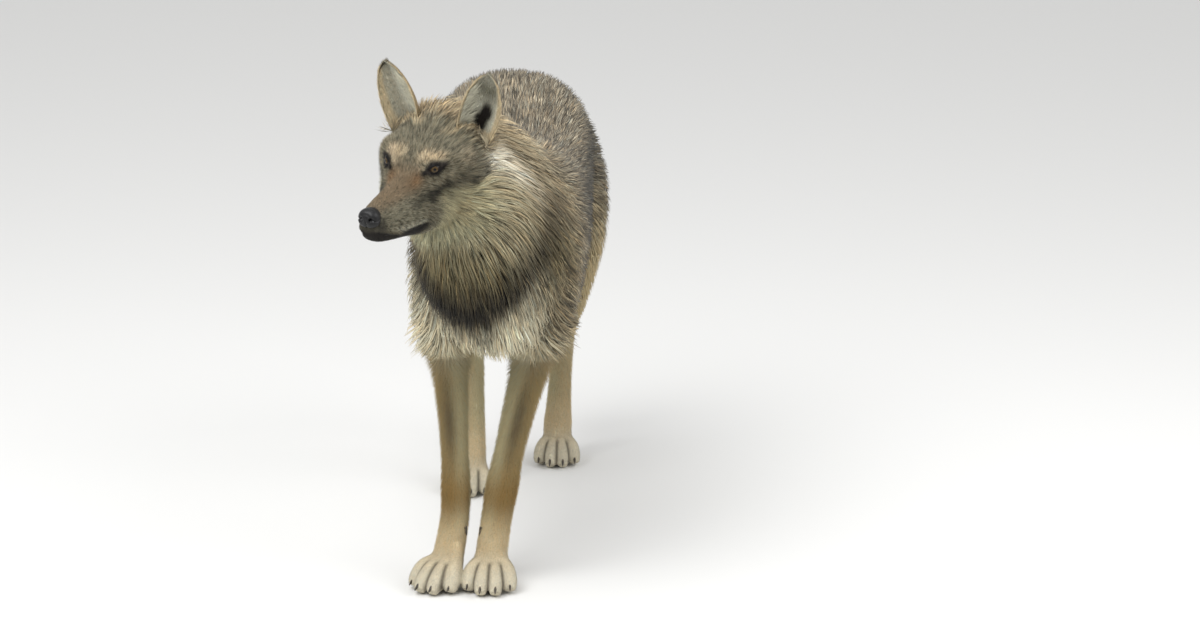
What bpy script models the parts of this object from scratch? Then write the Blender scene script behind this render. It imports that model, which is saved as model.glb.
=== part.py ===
"""A grey wolf standing with its head turned a little to its right, as a still, life-size model.

The solids are the outside of the coat, out to the tips of the hair. The wolf faces -Y, its left side is +X,
the floor is z = 0 and the origin is under the middle of the model's box. All sizes are in metres.
The tables measure from a point between the shoulders and the hips, and the finished model is moved to its origin.

Trunk, neck, legs and tail are lofts: rings of given half-widths, carried along a path. Trunk, neck and legs are
joined and smoothed into one body, which plane cuts then part into the pieces that a person would name. The head,
the ears, the nose and the paws are lofts of their own, and the eyes are balls set in sockets.
"""

import math
from collections import namedtuple

import bmesh
import bpy
import numpy as np
from mathutils import Matrix, Vector

# ---- Driving dimensions ------------------------------------------------------------------------------------
GAP = 0.0003                      # between two pieces that touch
BODY_VOXEL = 0.0055               # the grid on which trunk, neck and legs are joined
BODY_TRIANGLES = 2500             # what the joined body is thinned to before it is parted
FORE_PAWS = {"left": (0.012, -0.320), "right": (-0.063, -0.324)}     # middle of each sole
HIND_PAWS = {"left": (0.045, 0.402), "right": (-0.082, 0.213)}
FORE_TOE_OUT = {"left": 2, "right": -24}      # degrees, about the upright axis
HIND_TOE_OUT = {"left": 4, "right": -6}
ANKLE_CUT = 0.062                 # height of the cut between leg and paw
NOSE_TIP = (-0.139, -0.645, 0.684)
HEAD_TURN, HEAD_DROOP, HEAD_ROLL = 22.5, 7.0, 3.0     # degrees: to its right, nose down, right side up
EYE_RADIUS = 0.0118
EYE_AT = (0.1485, 0.0368, 0.0408)  # behind the nose tip, to the side and up, in the head's own frame
EAR_ROOT = (0.228, 0.058, 0.055)
EAR_LENGTH, EAR_HALF_WIDTH = 0.120, 0.0365
EAR_CUP, EAR_WALL, EAR_LEAN = 0.022, 0.0045, 0.006
EAR_NARROWED = 0.34               # the share of its width that the ear loses at its root
EAR_SPREAD = {"left": (16, 18, -8), "right": (16, 2, -4)}     # degrees: outwards, turned out, and back
EAR_BEND = {"left": 0.002, "right": 0.013}    # how far its tip bends outwards
CLAW_LENGTH, CLAW_RADIUS = 0.019, 0.0038
SIDE_NAMES = {1: "left", -1: "right"}
HEAD_CUT, HEAD_CUT_FACING = (-0.066, -0.420, 0.700), (-0.30, -0.80, 0.45)
HEAD_RINGS, HEAD_SIDES = 22, 20
RUMP_CUT, CHEST_CUT = 0.12, -0.12                                       # along the trunk
NECK_CUT, NECK_CUT_FACING = (-0.008, -0.320, 0.600), (-0.10, -0.75, 0.65)
FORE_LEG_CUT, HIND_LEG_CUT = (0.290, 1.0), (0.350, 1.07)                # height at mid-line, and its slope
FORE_LOWER_CUT = {                # a point of the cut above the wrist or hock, and the way it faces
    "left": ((0.034, -0.283, 0.185), (-0.2, 0, -1)),
    "right": ((-0.051, -0.283, 0.185), (0, 0, -1)),
}
HIND_LOWER_CUT = {
    "left": ((0.054, 0.420, 0.235), (0, 0.35, -1)),
    "right": ((-0.075, 0.270, 0.235), (0, 0.35, -1)),
}

MIDDLE_OF_BOX = (0.004, -0.049, 0.0)          # in the tables' coordinates: the origin is put under it
EDGE_ANGLE = 50                   # degrees: a steeper fold than this is shaded as an edge

# A ring of a limb or of the trunk: where its middle is, half its width, and how far it reaches to its front
# (or top) and to its back (or underside).
Ring = namedtuple("Ring", "x y z half rise drop")

TRUNK_AND_NECK = [
    Ring(-0.018, 0.425, 0.585, 0.030, 0.040, 0.045),   # end of the rump
    Ring(-0.018, 0.395, 0.592, 0.084, 0.080, 0.085),
    Ring(-0.017, 0.330, 0.600, 0.124, 0.110, 0.120),   # tail root
    Ring(-0.013, 0.235, 0.603, 0.140, 0.121, 0.135),   # croup
    Ring(-0.004, 0.110, 0.588, 0.142, 0.125, 0.146),   # loins
    Ring(0.009, -0.020, 0.573, 0.141, 0.134, 0.165),
    Ring(0.020, -0.140, 0.566, 0.140, 0.150, 0.185),   # ribs
    Ring(0.024, -0.225, 0.566, 0.138, 0.168, 0.190),   # withers
    Ring(0.020, -0.300, 0.586, 0.134, 0.156, 0.180),   # point of the shoulder
    Ring(0.006, -0.358, 0.638, 0.124, 0.148, 0.160),
    Ring(-0.028, -0.406, 0.684, 0.116, 0.146, 0.138),  # middle of the neck
    Ring(-0.060, -0.450, 0.716, 0.097, 0.132, 0.112),
    Ring(-0.074, -0.488, 0.738, 0.060, 0.070, 0.076),
    Ring(-0.084, -0.512, 0.748, 0.020, 0.020, 0.020),  # inside the head
]

TAIL = [
    Ring(-0.016, 0.375, 0.640, 0.030, 0.030, 0.030),
    Ring(-0.016, 0.420, 0.618, 0.036, 0.036, 0.036),
    Ring(-0.016, 0.466, 0.560, 0.044, 0.046, 0.044),
    Ring(-0.016, 0.490, 0.480, 0.050, 0.054, 0.050),
    Ring(-0.016, 0.500, 0.400, 0.050, 0.056, 0.052),
    Ring(-0.015, 0.502, 0.320, 0.042, 0.046, 0.043),
    Ring(-0.014, 0.500, 0.255, 0.024, 0.026, 0.025),
    Ring(-0.014, 0.498, 0.222, 0.006, 0.006, 0.006),    # tip
]

FORE_LEGS = {
    "left": [
        Ring(0.082, -0.205, 0.665, 0.030, 0.040, 0.040),    # shoulder blade
        Ring(0.098, -0.245, 0.590, 0.054, 0.075, 0.078),
        Ring(0.098, -0.275, 0.510, 0.056, 0.080, 0.084),    # point of the shoulder
        Ring(0.084, -0.262, 0.435, 0.046, 0.060, 0.062),    # elbow
        Ring(0.075, -0.264, 0.370, 0.0365, 0.038, 0.043),
        Ring(0.054, -0.270, 0.285, 0.0300, 0.030, 0.032),   # forearm
        Ring(0.037, -0.278, 0.210, 0.0270, 0.024, 0.027),
        Ring(0.027, -0.283, 0.158, 0.0295, 0.027, 0.026),   # wrist
        Ring(0.019, -0.288, 0.110, 0.0275, 0.0225, 0.024),  # pastern
        Ring(0.013, -0.296, 0.065, 0.0275, 0.025, 0.025),
        Ring(0.011, -0.304, 0.036, 0.0290, 0.027, 0.025),
    ],
    "right": [
        Ring(-0.042, -0.205, 0.665, 0.030, 0.040, 0.040),
        Ring(-0.060, -0.245, 0.590, 0.054, 0.075, 0.078),
        Ring(-0.066, -0.275, 0.510, 0.056, 0.080, 0.084),
        Ring(-0.064, -0.262, 0.435, 0.046, 0.060, 0.062),
        Ring(-0.060, -0.264, 0.370, 0.0350, 0.038, 0.043),
        Ring(-0.054, -0.270, 0.285, 0.0285, 0.030, 0.032),
        Ring(-0.050, -0.278, 0.210, 0.0250, 0.024, 0.027),
        Ring(-0.048, -0.283, 0.158, 0.0265, 0.027, 0.026),
        Ring(-0.049, -0.288, 0.110, 0.0260, 0.0225, 0.024),
        Ring(-0.055, -0.296, 0.065, 0.0265, 0.025, 0.025),
        Ring(-0.060, -0.304, 0.036, 0.0290, 0.027, 0.025),
    ],
}

HIND_LEGS = {
    "left": [
        Ring(0.074, 0.270, 0.625, 0.046, 0.070, 0.070),     # hip
        Ring(0.092, 0.262, 0.535, 0.056, 0.104, 0.104),     # thigh
        Ring(0.094, 0.245, 0.450, 0.052, 0.094, 0.098),
        Ring(0.086, 0.250, 0.380, 0.042, 0.064, 0.068),     # knee
        Ring(0.074, 0.292, 0.315, 0.032, 0.042, 0.042),     # shank
        Ring(0.060, 0.368, 0.255, 0.0245, 0.028, 0.028),
        Ring(0.052, 0.420, 0.215, 0.0230, 0.025, 0.028),    # hock
        Ring(0.048, 0.438, 0.165, 0.0215, 0.022, 0.025),
        Ring(0.045, 0.433, 0.105, 0.0230, 0.021, 0.023),    # hind pastern
        Ring(0.044, 0.419, 0.062, 0.0265, 0.022, 0.024),
        Ring(0.044, 0.410, 0.036, 0.0270, 0.024, 0.024),
    ],
    "right": [
        Ring(-0.054, 0.265, 0.625, 0.046, 0.070, 0.070),
        Ring(-0.074, 0.240, 0.535, 0.056, 0.104, 0.104),
        Ring(-0.080, 0.195, 0.450, 0.050, 0.092, 0.096),
        Ring(-0.082, 0.176, 0.380, 0.040, 0.062, 0.066),
        Ring(-0.085, 0.194, 0.315, 0.031, 0.040, 0.042),
        Ring(-0.087, 0.240, 0.255, 0.0245, 0.028, 0.028),
        Ring(-0.087, 0.270, 0.215, 0.0230, 0.025, 0.028),
        Ring(-0.086, 0.274, 0.165, 0.0215, 0.022, 0.025),
        Ring(-0.084, 0.256, 0.105, 0.0225, 0.021, 0.023),
        Ring(-0.083, 0.234, 0.062, 0.0255, 0.022, 0.024),
        Ring(-0.082, 0.222, 0.036, 0.0260, 0.024, 0.024),
    ],
}

# A ring of the head, in the head's own frame: how far behind the nose tip, the height of its middle, half its
# width, its reach up and down, how much its top is narrowed, and how square it is (2 is an ellipse).
HeadRing = namedtuple("HeadRing", "back mid half rise drop pinch square")
HEAD = [
    HeadRing(0.008, -0.008, 0.0150, 0.0130, 0.0230, 0.10, 2.4),
    HeadRing(0.022, -0.008, 0.0215, 0.0230, 0.0345, 0.22, 2.6),
    HeadRing(0.050, -0.009, 0.0290, 0.0300, 0.0400, 0.28, 2.6),    # muzzle
    HeadRing(0.080, -0.010, 0.0350, 0.0360, 0.0450, 0.28, 2.5),
    HeadRing(0.108, -0.009, 0.0410, 0.0420, 0.0540, 0.28, 2.3),
    HeadRing(0.130, -0.005, 0.0530, 0.0520, 0.0650, 0.16, 2.3),    # stop
    HeadRing(0.152, 0.000, 0.0660, 0.0660, 0.0740, 0.08, 2.3),     # eyes
    HeadRing(0.178, 0.003, 0.0820, 0.0800, 0.0850, 0.08, 2.2),
    HeadRing(0.205, 0.003, 0.0930, 0.0900, 0.0940, 0.12, 2.1),     # cheeks
    HeadRing(0.235, 0.002, 0.0990, 0.1040, 0.1000, 0.14, 2.1),
    HeadRing(0.262, -0.002, 0.0860, 0.1100, 0.0860, 0.12, 2.0),    # nape
]

# Swellings (+) and hollows (-) of the head: behind the nose tip, to the side, up, their reach along the head,
# sideways and up, and their height. Each one is made on both sides.
Swelling = namedtuple("Swelling", "back side up reach_along reach_side reach_up height")
HEAD_FORMS = {
    "brow": Swelling(0.150, 0.030, 0.058, 0.016, 0.016, 0.012, 0.0045),
    "eyelids": Swelling(0.144, 0.046, 0.040, 0.012, 0.012, 0.010, 0.0015),
    "cheekbone": Swelling(0.172, 0.070, 0.012, 0.024, 0.020, 0.016, 0.0010),
    "muzzle_side": Swelling(0.100, 0.034, 0.012, 0.030, 0.014, 0.016, -0.0040),
    "forehead_groove": Swelling(0.150, 0.000, 0.062, 0.026, 0.008, 0.020, -0.0030),
    "lip": Swelling(0.055, 0.026, -0.020, 0.030, 0.012, 0.010, 0.0025),
    "temple": Swelling(0.182, 0.074, 0.054, 0.021, 0.018, 0.018, 0.0120),
    "orbit": Swelling(0.150, 0.064, 0.016, 0.018, 0.016, 0.018, -0.0075),
}
JAW_HINGE_BACK = 0.112            # behind the nose tip: the corner of the mouth
LIP_LINE = ((0.000, -0.0225), (0.030, -0.0300), (0.070, -0.0370), (JAW_HINGE_BACK, -0.0385))

# The nose pad's rings: behind the nose tip, half its width, its reach up and down.
NOSE = [
    (0.0000, 0.0080, 0.0050, 0.0060),
    (0.0030, 0.0140, 0.0100, 0.0115),
    (0.0100, 0.0172, 0.0130, 0.0135),
    (0.0200, 0.0160, 0.0125, 0.0120),
]
NOSE_UP = 0.002                   # the height of its middle

# The toes of a fore paw: how far to the side the tip and the root are, and how far ahead the tip is.
TOES = [(-0.0320, -0.0150, 0.038), (-0.0115, -0.0065, 0.058), (0.0115, 0.0065, 0.058), (0.0320, 0.0150, 0.038)]

# The pad of a paw, from heel to toes: ahead of the middle of the sole, up, and its radius.
PAD = [(-0.034, 0.014, 0.012), (-0.020, 0.018, 0.022), (0.000, 0.022, 0.026), (0.018, 0.020, 0.018)]
PAW_VOXEL = 0.0018
PAW_TRIANGLES = 420
FORE_PAW_SCALE, HIND_PAW_SCALE = 1.0, 0.9


# ---- Materials ---------------------------------------------------------------------------------------------
def material(name, colour, roughness):
    made = bpy.data.materials.new(name)
    made.use_nodes = True
    surface = made.node_tree.nodes["Principled BSDF"]
    surface.inputs["Base Color"].default_value = (*colour, 1.0)
    surface.inputs["Roughness"].default_value = roughness
    surface.inputs["Metallic"].default_value = 0.0
    return made


# ---- Lofts -------------------------------------------------------------------------------------------------
def smooth_rows(rows, count):
    """The rings' values at count even steps, on a Catmull-Rom curve through the given rings."""
    known = np.array(rows, float)
    padded = np.vstack([2 * known[0] - known[1], known, 2 * known[-1] - known[-2]])
    where = np.linspace(0, len(known) - 1, count)
    first = np.minimum(where.astype(int), len(known) - 2)
    t = (where - first)[:, None]
    a, b, c, d = (padded[first + k] for k in range(4))
    return 0.5 * (2 * b + (c - a) * t + (2 * a - 5 * b + 4 * c - d) * t**2 + (3 * b - a - 3 * c + d) * t**3)


def unit(vectors):
    return vectors / np.linalg.norm(vectors, axis=-1, keepdims=True)


def signed_power(values, power):
    return np.sign(values) * np.abs(values) ** power


def ring_points(middle, side, up, half, rise, drop, sides, square=2.0, pinch=0.0):
    """One closed ring: a rounded outline that reaches half to each side, rise up and drop down."""
    angle = np.linspace(0, 2 * math.pi, sides, endpoint=False)
    across = signed_power(np.cos(angle), 2 / square)
    height = signed_power(np.sin(angle), 2 / square)
    across = across * (1 - pinch * height)
    reach = np.where(height > 0, rise, drop)
    return middle + np.outer(half * across, side) + np.outer(reach * height, up)


def skin_of_rings(name, rings, paint):
    """A closed mesh over a list of rings, with a pole at each end."""
    mesh = bmesh.new()
    loops = [[mesh.verts.new(point) for point in ring] for ring in rings]
    for near, far in zip(loops, loops[1:]):
        for i in range(len(near)):
            j = (i + 1) % len(near)
            mesh.faces.new((near[i], near[j], far[j], far[i]))
    for loop in (loops[0], loops[-1]):
        pole = mesh.verts.new(np.mean([v.co for v in loop], axis=0))
        for i in range(len(loop)):
            mesh.faces.new((loop[i], loop[(i + 1) % len(loop)], pole))
    bmesh.ops.recalc_face_normals(mesh, faces=mesh.faces)
    return new_object(name, mesh, paint)


def new_object(name, mesh, paint):
    data = bpy.data.meshes.new(name)
    mesh.to_mesh(data)
    mesh.free()
    data.materials.append(paint)
    made = bpy.data.objects.new(name, data)
    bpy.context.scene.collection.objects.link(made)
    return made


def limb(name, rows, sides, count, paint, turn=0.0, square=2.0):
    """A loft whose rings stand square to their path. turn rotates its sideways direction about the vertical."""
    table = smooth_rows(rows, count)
    middles = table[:, :3]
    ahead = unit(np.gradient(middles, axis=0))
    across = np.array([math.cos(math.radians(turn)), math.sin(math.radians(turn)), 0.0])
    side = unit(across - ahead * (ahead @ across)[:, None])
    up = np.cross(ahead, side)
    reaches = np.maximum(table[:, 3:6], 0.0)
    rings = [ring_points(middles[i], side[i], up[i], *reaches[i], sides, square) for i in range(count)]
    return skin_of_rings(name, rings, paint)


def settle(piece):
    """Turns a piece's modifiers into its mesh."""
    graph = bpy.context.evaluated_depsgraph_get()
    made = bpy.data.meshes.new_from_object(piece.evaluated_get(graph))
    piece.modifiers.clear()
    piece.data = made


def boolean(piece, other, operation):
    step = piece.modifiers.new(operation.lower(), "BOOLEAN")
    step.operation = operation
    step.object = other
    settle(piece)


def discard(*pieces):
    for piece in pieces:
        bpy.data.objects.remove(piece)


def merged(name, pieces, voxel, smoothing, triangles):
    """Pieces that run into each other as one smooth closed piece, thinned to a number of triangles."""
    mesh = bmesh.new()
    for piece in pieces:
        mesh.from_mesh(piece.data)
    whole = new_object(name, mesh, pieces[0].data.materials[0])
    discard(*pieces)
    voxels = whole.modifiers.new("voxels", "REMESH")
    voxels.mode = "VOXEL"
    voxels.voxel_size = voxel
    smooth = whole.modifiers.new("smooth", "SMOOTH")
    smooth.factor, smooth.iterations = 0.5, smoothing
    settle(whole)
    thin = whole.modifiers.new("thin", "DECIMATE")
    thin.ratio = triangles / (2 * len(whole.data.polygons))
    settle(whole)
    return whole


def keep_side(piece, point, outward):
    """Cuts a closed piece by a plane, drops what lies on the outward side and closes the cut."""
    mesh = bmesh.new()
    mesh.from_mesh(piece.data)
    everything = mesh.verts[:] + mesh.edges[:] + mesh.faces[:]
    cut = bmesh.ops.bisect_plane(
        mesh, geom=everything, dist=1e-6, plane_co=point, plane_no=outward, clear_outer=True
    )
    rim = [part for part in cut["geom_cut"] if isinstance(part, bmesh.types.BMEdge)]
    bmesh.ops.holes_fill(mesh, edges=[edge for edge in rim if edge.is_boundary], sides=0)
    mesh.to_mesh(piece.data)
    mesh.free()


def copy_of(piece, name):
    made = piece.copy()
    made.data = piece.data.copy()
    made.name = made.data.name = name
    bpy.context.scene.collection.objects.link(made)
    return made


def split(piece, point, outward, name):
    """Parts a piece in two by a plane. What lies on its outward side becomes a new piece of the given name."""
    outward = Vector(outward).normalized()
    far = copy_of(piece, name)
    keep_side(far, Vector(point) + outward * GAP / 2, -outward)
    keep_side(piece, Vector(point) - outward * GAP / 2, outward)
    return far


def grown(piece, name):
    """A copy of a piece that is larger by the gap all round, to cut its neighbour with."""
    made = copy_of(piece, name)
    mesh = bmesh.new()
    mesh.from_mesh(made.data)
    mesh.normal_update()
    for vertex in mesh.verts:
        vertex.co += vertex.normal * GAP
    mesh.to_mesh(made.data)
    mesh.free()
    return made


def keep_largest(piece):
    """Drops the crumbs that a cut leaves beside the main body."""
    mesh = bmesh.new()
    mesh.from_mesh(piece.data)
    left = set(mesh.verts)
    bodies = []
    while left:
        body, edge_of_body = set(), [left.pop()]
        while edge_of_body:
            vertex = edge_of_body.pop()
            body.add(vertex)
            near = {edge.other_vert(vertex) for edge in vertex.link_edges} & left
            left -= near
            edge_of_body += near
        bodies.append(body)
    largest = max(bodies, key=len)
    bmesh.ops.delete(mesh, geom=[v for v in mesh.verts if v not in largest], context="VERTS")
    mesh.to_mesh(piece.data)
    mesh.free()


# ---- Head --------------------------------------------------------------------------------------------------
HEAD_FRAME = (
    Matrix.Translation(NOSE_TIP)
    @ Matrix.Rotation(math.radians(-HEAD_TURN), 4, "Z")
    @ Matrix.Rotation(math.radians(HEAD_DROOP), 4, "X")
    @ Matrix.Rotation(math.radians(HEAD_ROLL), 4, "Y")
)


def formed(points, middle):
    """The points of a ring of the head, pushed out or in by the head's swellings and hollows."""
    outward = unit((points - middle) * (1, 0, 1))
    push = np.zeros(len(points))
    for form in HEAD_FORMS.values():
        along = (points[:, 1] - form.back) / form.reach_along
        sideways = (np.abs(points[:, 0]) - form.side) / form.reach_side
        upwards = (points[:, 2] - form.up) / form.reach_up
        push += form.height * np.exp(-(along**2 + sideways**2 + upwards**2) / 2)
    return points + outward * push[:, None]


def make_head(paint):
    rings = []
    for back, mid, half, rise, drop, pinch, square in smooth_rows(HEAD, HEAD_RINGS):
        middle = np.array([0.0, back, mid])
        ring = ring_points(middle, (1, 0, 0), (0, 0, 1), half, rise, drop, HEAD_SIDES, square, pinch)
        rings.append(formed(ring, middle))
    head = skin_of_rings("head", rings, paint)
    head.data.transform(HEAD_FRAME)
    return head


def make_jaw(head):
    """Parts the jaw from the head along the line of the lips, as far back as the corner of the mouth."""
    jaw = copy_of(head, "jaw")
    for piece, shift, operation in ((jaw, 0.0, "INTERSECT"), (head, GAP, "DIFFERENCE")):
        outline = [(back + (shift if back else -0.05), up + shift) for back, up in LIP_LINE]
        outline += [(JAW_HINGE_BACK + shift, -0.2), (-0.05, -0.2)]
        mesh = bmesh.new()
        near = [mesh.verts.new((-0.1, back, up)) for back, up in outline]
        far = [mesh.verts.new((0.1, back, up)) for back, up in outline]
        mesh.faces.new(near)
        mesh.faces.new(far[::-1])
        for i in range(len(outline)):
            j = (i + 1) % len(outline)
            mesh.faces.new((near[j], near[i], far[i], far[j]))
        bmesh.ops.recalc_face_normals(mesh, faces=mesh.faces)
        wedge = new_object("jaw_wedge", mesh, head.data.materials[0])
        wedge.data.transform(HEAD_FRAME)
        boolean(piece, wedge, operation)
        discard(wedge)
    return jaw


def make_nose(head, paint):
    """The bare pad at the tip of the muzzle."""
    rings = []
    for back, half, rise, drop in smooth_rows(NOSE, 7):
        middle = np.array([0.0, back, NOSE_UP])
        rings.append(ring_points(middle, (1, 0, 0), (0, 0, 1), half, rise, drop, 12, 2.5, -0.16))
    nose = skin_of_rings("nose", rings, paint)
    nose.data.transform(HEAD_FRAME)
    cutter = grown(nose, "nose_cutter")
    boolean(head, cutter, "DIFFERENCE")
    discard(cutter)
    return nose


def make_eye(side, head, paint):
    """An eyeball in its socket. side is 1 on the left and -1 on the right."""
    back, sideways, up = EYE_AT
    for name, radius in (("socket", EYE_RADIUS + GAP), ("eye_" + SIDE_NAMES[side], EYE_RADIUS)):
        mesh = bmesh.new()
        bmesh.ops.create_uvsphere(mesh, u_segments=14, v_segments=8, radius=radius)
        ball = new_object(name, mesh, paint)
        ball.data.transform(HEAD_FRAME @ Matrix.Translation((side * sideways, back, up)))
        if name == "socket":
            boolean(head, ball, "DIFFERENCE")
            discard(ball)
    return ball


def make_ear(side, head, paint):
    """A cupped shell: across it runs an arc that opens forwards, and along it the arc narrows to the tip."""
    along = np.linspace(0, 1, 9)
    across = np.linspace(-1, 1, 9)
    u, v = np.meshgrid(along, across, indexing="ij")
    width = EAR_HALF_WIDTH * (1 - u**2.4) ** 0.62 * (1 - EAR_NARROWED * (1 - u) ** 3)
    cup = EAR_CUP * (1 - 0.75 * u)
    shells = []
    for depth in (0.0, EAR_WALL):
        x = width * np.sin(v * 1.25) / math.sin(1.25) + side * EAR_BEND[SIDE_NAMES[side]] * u**2
        y = cup * (1 - v**2) + depth * (1 - 0.45 * np.abs(v) ** 3)
        z = u * EAR_LENGTH + 0 * v
        shells.append(np.stack([x, y + EAR_LEAN * u**2, z], axis=-1))
    front, behind = shells
    mesh = bmesh.new()
    grids = [[[mesh.verts.new(point) for point in row] for row in grid[:-1]] for grid in (front, behind)]
    tip = mesh.verts.new((front[-1].mean(axis=0) + behind[-1].mean(axis=0)) / 2)
    for grid in grids:
        for low, high in zip(grid, grid[1:]):
            for i in range(len(low) - 1):
                mesh.faces.new((low[i], low[i + 1], high[i + 1], high[i]))
        for i in range(len(grid[-1]) - 1):
            mesh.faces.new((grid[-1][i], grid[-1][i + 1], tip))
    inner, outer = grids
    for i in range(len(inner[0]) - 1):
        mesh.faces.new((inner[0][i], inner[0][i + 1], outer[0][i + 1], outer[0][i]))
    for edge in (0, -1):
        for k in range(len(inner) - 1):
            mesh.faces.new((inner[k][edge], inner[k + 1][edge], outer[k + 1][edge], outer[k][edge]))
        mesh.faces.new((inner[-1][edge], outer[-1][edge], tip))
    bmesh.ops.recalc_face_normals(mesh, faces=mesh.faces)
    ear = new_object("ear_" + SIDE_NAMES[side], mesh, paint)
    back, sideways, up = EAR_ROOT
    spread, turned, tilt = EAR_SPREAD[SIDE_NAMES[side]]
    ear.data.transform(
        HEAD_FRAME
        @ Matrix.Translation((side * sideways, back, up))
        @ Matrix.Rotation(math.radians(side * spread), 4, "Y")
        @ Matrix.Rotation(math.radians(tilt), 4, "X")
        @ Matrix.Rotation(math.radians(side * turned), 4, "Z")
    )
    cutter = grown(head, "ear_cutter")
    boolean(ear, cutter, "DIFFERENCE")
    discard(cutter)
    keep_largest(ear)
    return ear


# ---- Paws --------------------------------------------------------------------------------------------------
def claw(root, forwards, length, paint):
    """A tapered claw that bends down as it leaves the toe."""
    rows = []
    for t in np.linspace(0, 1, 5):
        reach = root + forwards * length * t
        rows.append((reach[0], reach[1], root[2] - 0.4 * length * t**2, *[CLAW_RADIUS * (1.1 - 0.7 * t)] * 3))
    return limb("claw", rows, 8, 6, paint)


def make_paw(name, middle, toe_out, scale, leg_rows, paint):
    """A paw: the ankle, the pad and four toes with their claws, with a flat sole on the floor."""
    turn = Matrix.Rotation(math.radians(toe_out), 3, "Z")
    place = Vector((*middle, 0.0))

    def row(side, ahead, up, radius):
        return (*(place + turn @ Vector((side, -ahead, up)) * scale), *[radius * scale] * 3)

    pieces = [limb("ankle", [ring for ring in leg_rows if ring.z < 0.12], 16, 8, paint)]
    pieces.append(limb("pad", [row(0, *step) for step in PAD], 12, 7, paint, turn=toe_out))
    for side, root_side, ahead in TOES:
        knuckles = ((root_side, -0.010, 0.034, 0.0150), (side * 0.85, ahead * 0.42, 0.0330, 0.0135),
                    (side, ahead * 0.78, 0.0190, 0.0135), (side * 1.06, ahead, 0.0060, 0.0105))
        pieces.append(limb("toe", [row(*knuckle) for knuckle in knuckles], 12, 9, paint, turn=toe_out))
        forwards = np.array(turn @ Vector((side * 3.0, -1.0, 0.0)).normalized())
        pieces.append(claw(np.array(row(side * 1.05, ahead - 0.004, 0.0165, 0)[:3]), forwards, CLAW_LENGTH, paint))
    paw = merged(name, pieces, PAW_VOXEL, 2, PAW_TRIANGLES)
    keep_side(paw, (0, 0, 0), (0, 0, -1))
    keep_side(paw, (0, 0, ANKLE_CUT - GAP / 2), (0, 0, 1))
    keep_largest(paw)
    return paw


# ---- Assembly ----------------------------------------------------------------------------------------------
def make_body(paint):
    """Trunk, neck and legs as one smooth body."""
    pieces = [limb("trunk", TRUNK_AND_NECK, 40, 48, paint, square=2.25)]
    for rows in (*FORE_LEGS.values(), *HIND_LEGS.values()):
        pieces.append(limb("leg", rows, 20, 44, paint))
    return merged("trunk", pieces, BODY_VOXEL, 8, BODY_TRIANGLES)


def part_legs(torso, slope_foot, name):
    """Takes both legs from a torso: what lies below planes that rise from the middle of the belly outwards."""
    foot, slope = slope_foot
    legs = {}
    for side, side_name in SIDE_NAMES.items():
        below = Vector((side * slope, 0, -1)).normalized()
        leg = copy_of(torso, f"{name}_{side_name}")
        keep_side(leg, Vector((0, 0, foot)) + below * GAP / 2, -below)
        keep_side(leg, (0, 0, 0), (-side, 0, 0))
        keep_largest(leg)
        legs[side_name] = leg
    for side in SIDE_NAMES:
        below = Vector((side * slope, 0, -1)).normalized()
        keep_side(torso, Vector((0, 0, foot)) - below * GAP / 2, below)
    keep_largest(torso)
    return legs


def finish_leg(leg, name, lower_cut):
    """Parts a leg at the wrist or hock, and ends it at the top of its paw."""
    keep_side(leg, (0, 0, ANKLE_CUT + GAP / 2), (0, 0, -1))
    split(leg, *lower_cut, name)


def main():
    for thing in list(bpy.data.objects):
        bpy.data.objects.remove(thing)
    fur = material("fur", (0.34, 0.27, 0.20), 0.9)
    pale_fur = material("pale_fur", (0.62, 0.55, 0.44), 0.9)
    dark = material("nose_skin", (0.02, 0.02, 0.02), 0.45)
    amber = material("eye", (0.30, 0.16, 0.04), 0.15)

    trunk = make_body(fur)
    head = make_head(fur)
    boolean(trunk, head, "UNION")
    discard(head)
    head = split(trunk, HEAD_CUT, HEAD_CUT_FACING, "head")
    keep_largest(head)
    rump = split(trunk, (0, RUMP_CUT, 0), (0, 1, 0), "rump")
    chest = split(trunk, (0, CHEST_CUT, 0), (0, -1, 0), "chest")
    trunk.name = trunk.data.name = "trunk"
    forelegs = part_legs(chest, FORE_LEG_CUT, "foreleg")
    hind_legs = part_legs(rump, HIND_LEG_CUT, "hind_leg")
    for side in SIDE_NAMES.values():
        finish_leg(forelegs[side], f"fore_pastern_{side}", FORE_LOWER_CUT[side])
        finish_leg(hind_legs[side], f"hock_{side}", HIND_LOWER_CUT[side])
        make_paw(f"fore_paw_{side}", FORE_PAWS[side], FORE_TOE_OUT[side], FORE_PAW_SCALE, FORE_LEGS[side], pale_fur)
        make_paw(f"hind_paw_{side}", HIND_PAWS[side], HIND_TOE_OUT[side], HIND_PAW_SCALE, HIND_LEGS[side], pale_fur)
    split(chest, NECK_CUT, NECK_CUT_FACING, "neck")

    tail = limb("tail", TAIL, 13, 14, fur)
    cutter = grown(rump, "tail_cutter")
    boolean(tail, cutter, "DIFFERENCE")
    discard(cutter)
    keep_largest(tail)

    make_nose(head, dark)
    for side in SIDE_NAMES:
        make_eye(side, head, amber)
    for side in SIDE_NAMES:
        make_ear(side, head, fur)
    make_jaw(head)
    for piece in bpy.data.objects:
        piece.data.transform(Matrix.Translation(-Vector(MIDDLE_OF_BOX)))
        piece.data.shade_smooth()
        piece.data.set_sharp_from_angle(angle=math.radians(EDGE_ANGLE))


main()
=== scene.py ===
"""Looks for a still, life-size grey wolf: a skin, a coat of solid locks, eyes, nose, lips, claws, whiskers.

The wolf faces -Y, its left side is +X and the floor is z = 0. The tables below measure from a point of their
own on the floor. MIDDLE takes their numbers to the frame, whose origin is under the middle of the wolf.
"""

import math

import bpy
import numpy as np
from mathutils import Matrix, Vector
from mathutils.kdtree import KDTree


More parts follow.
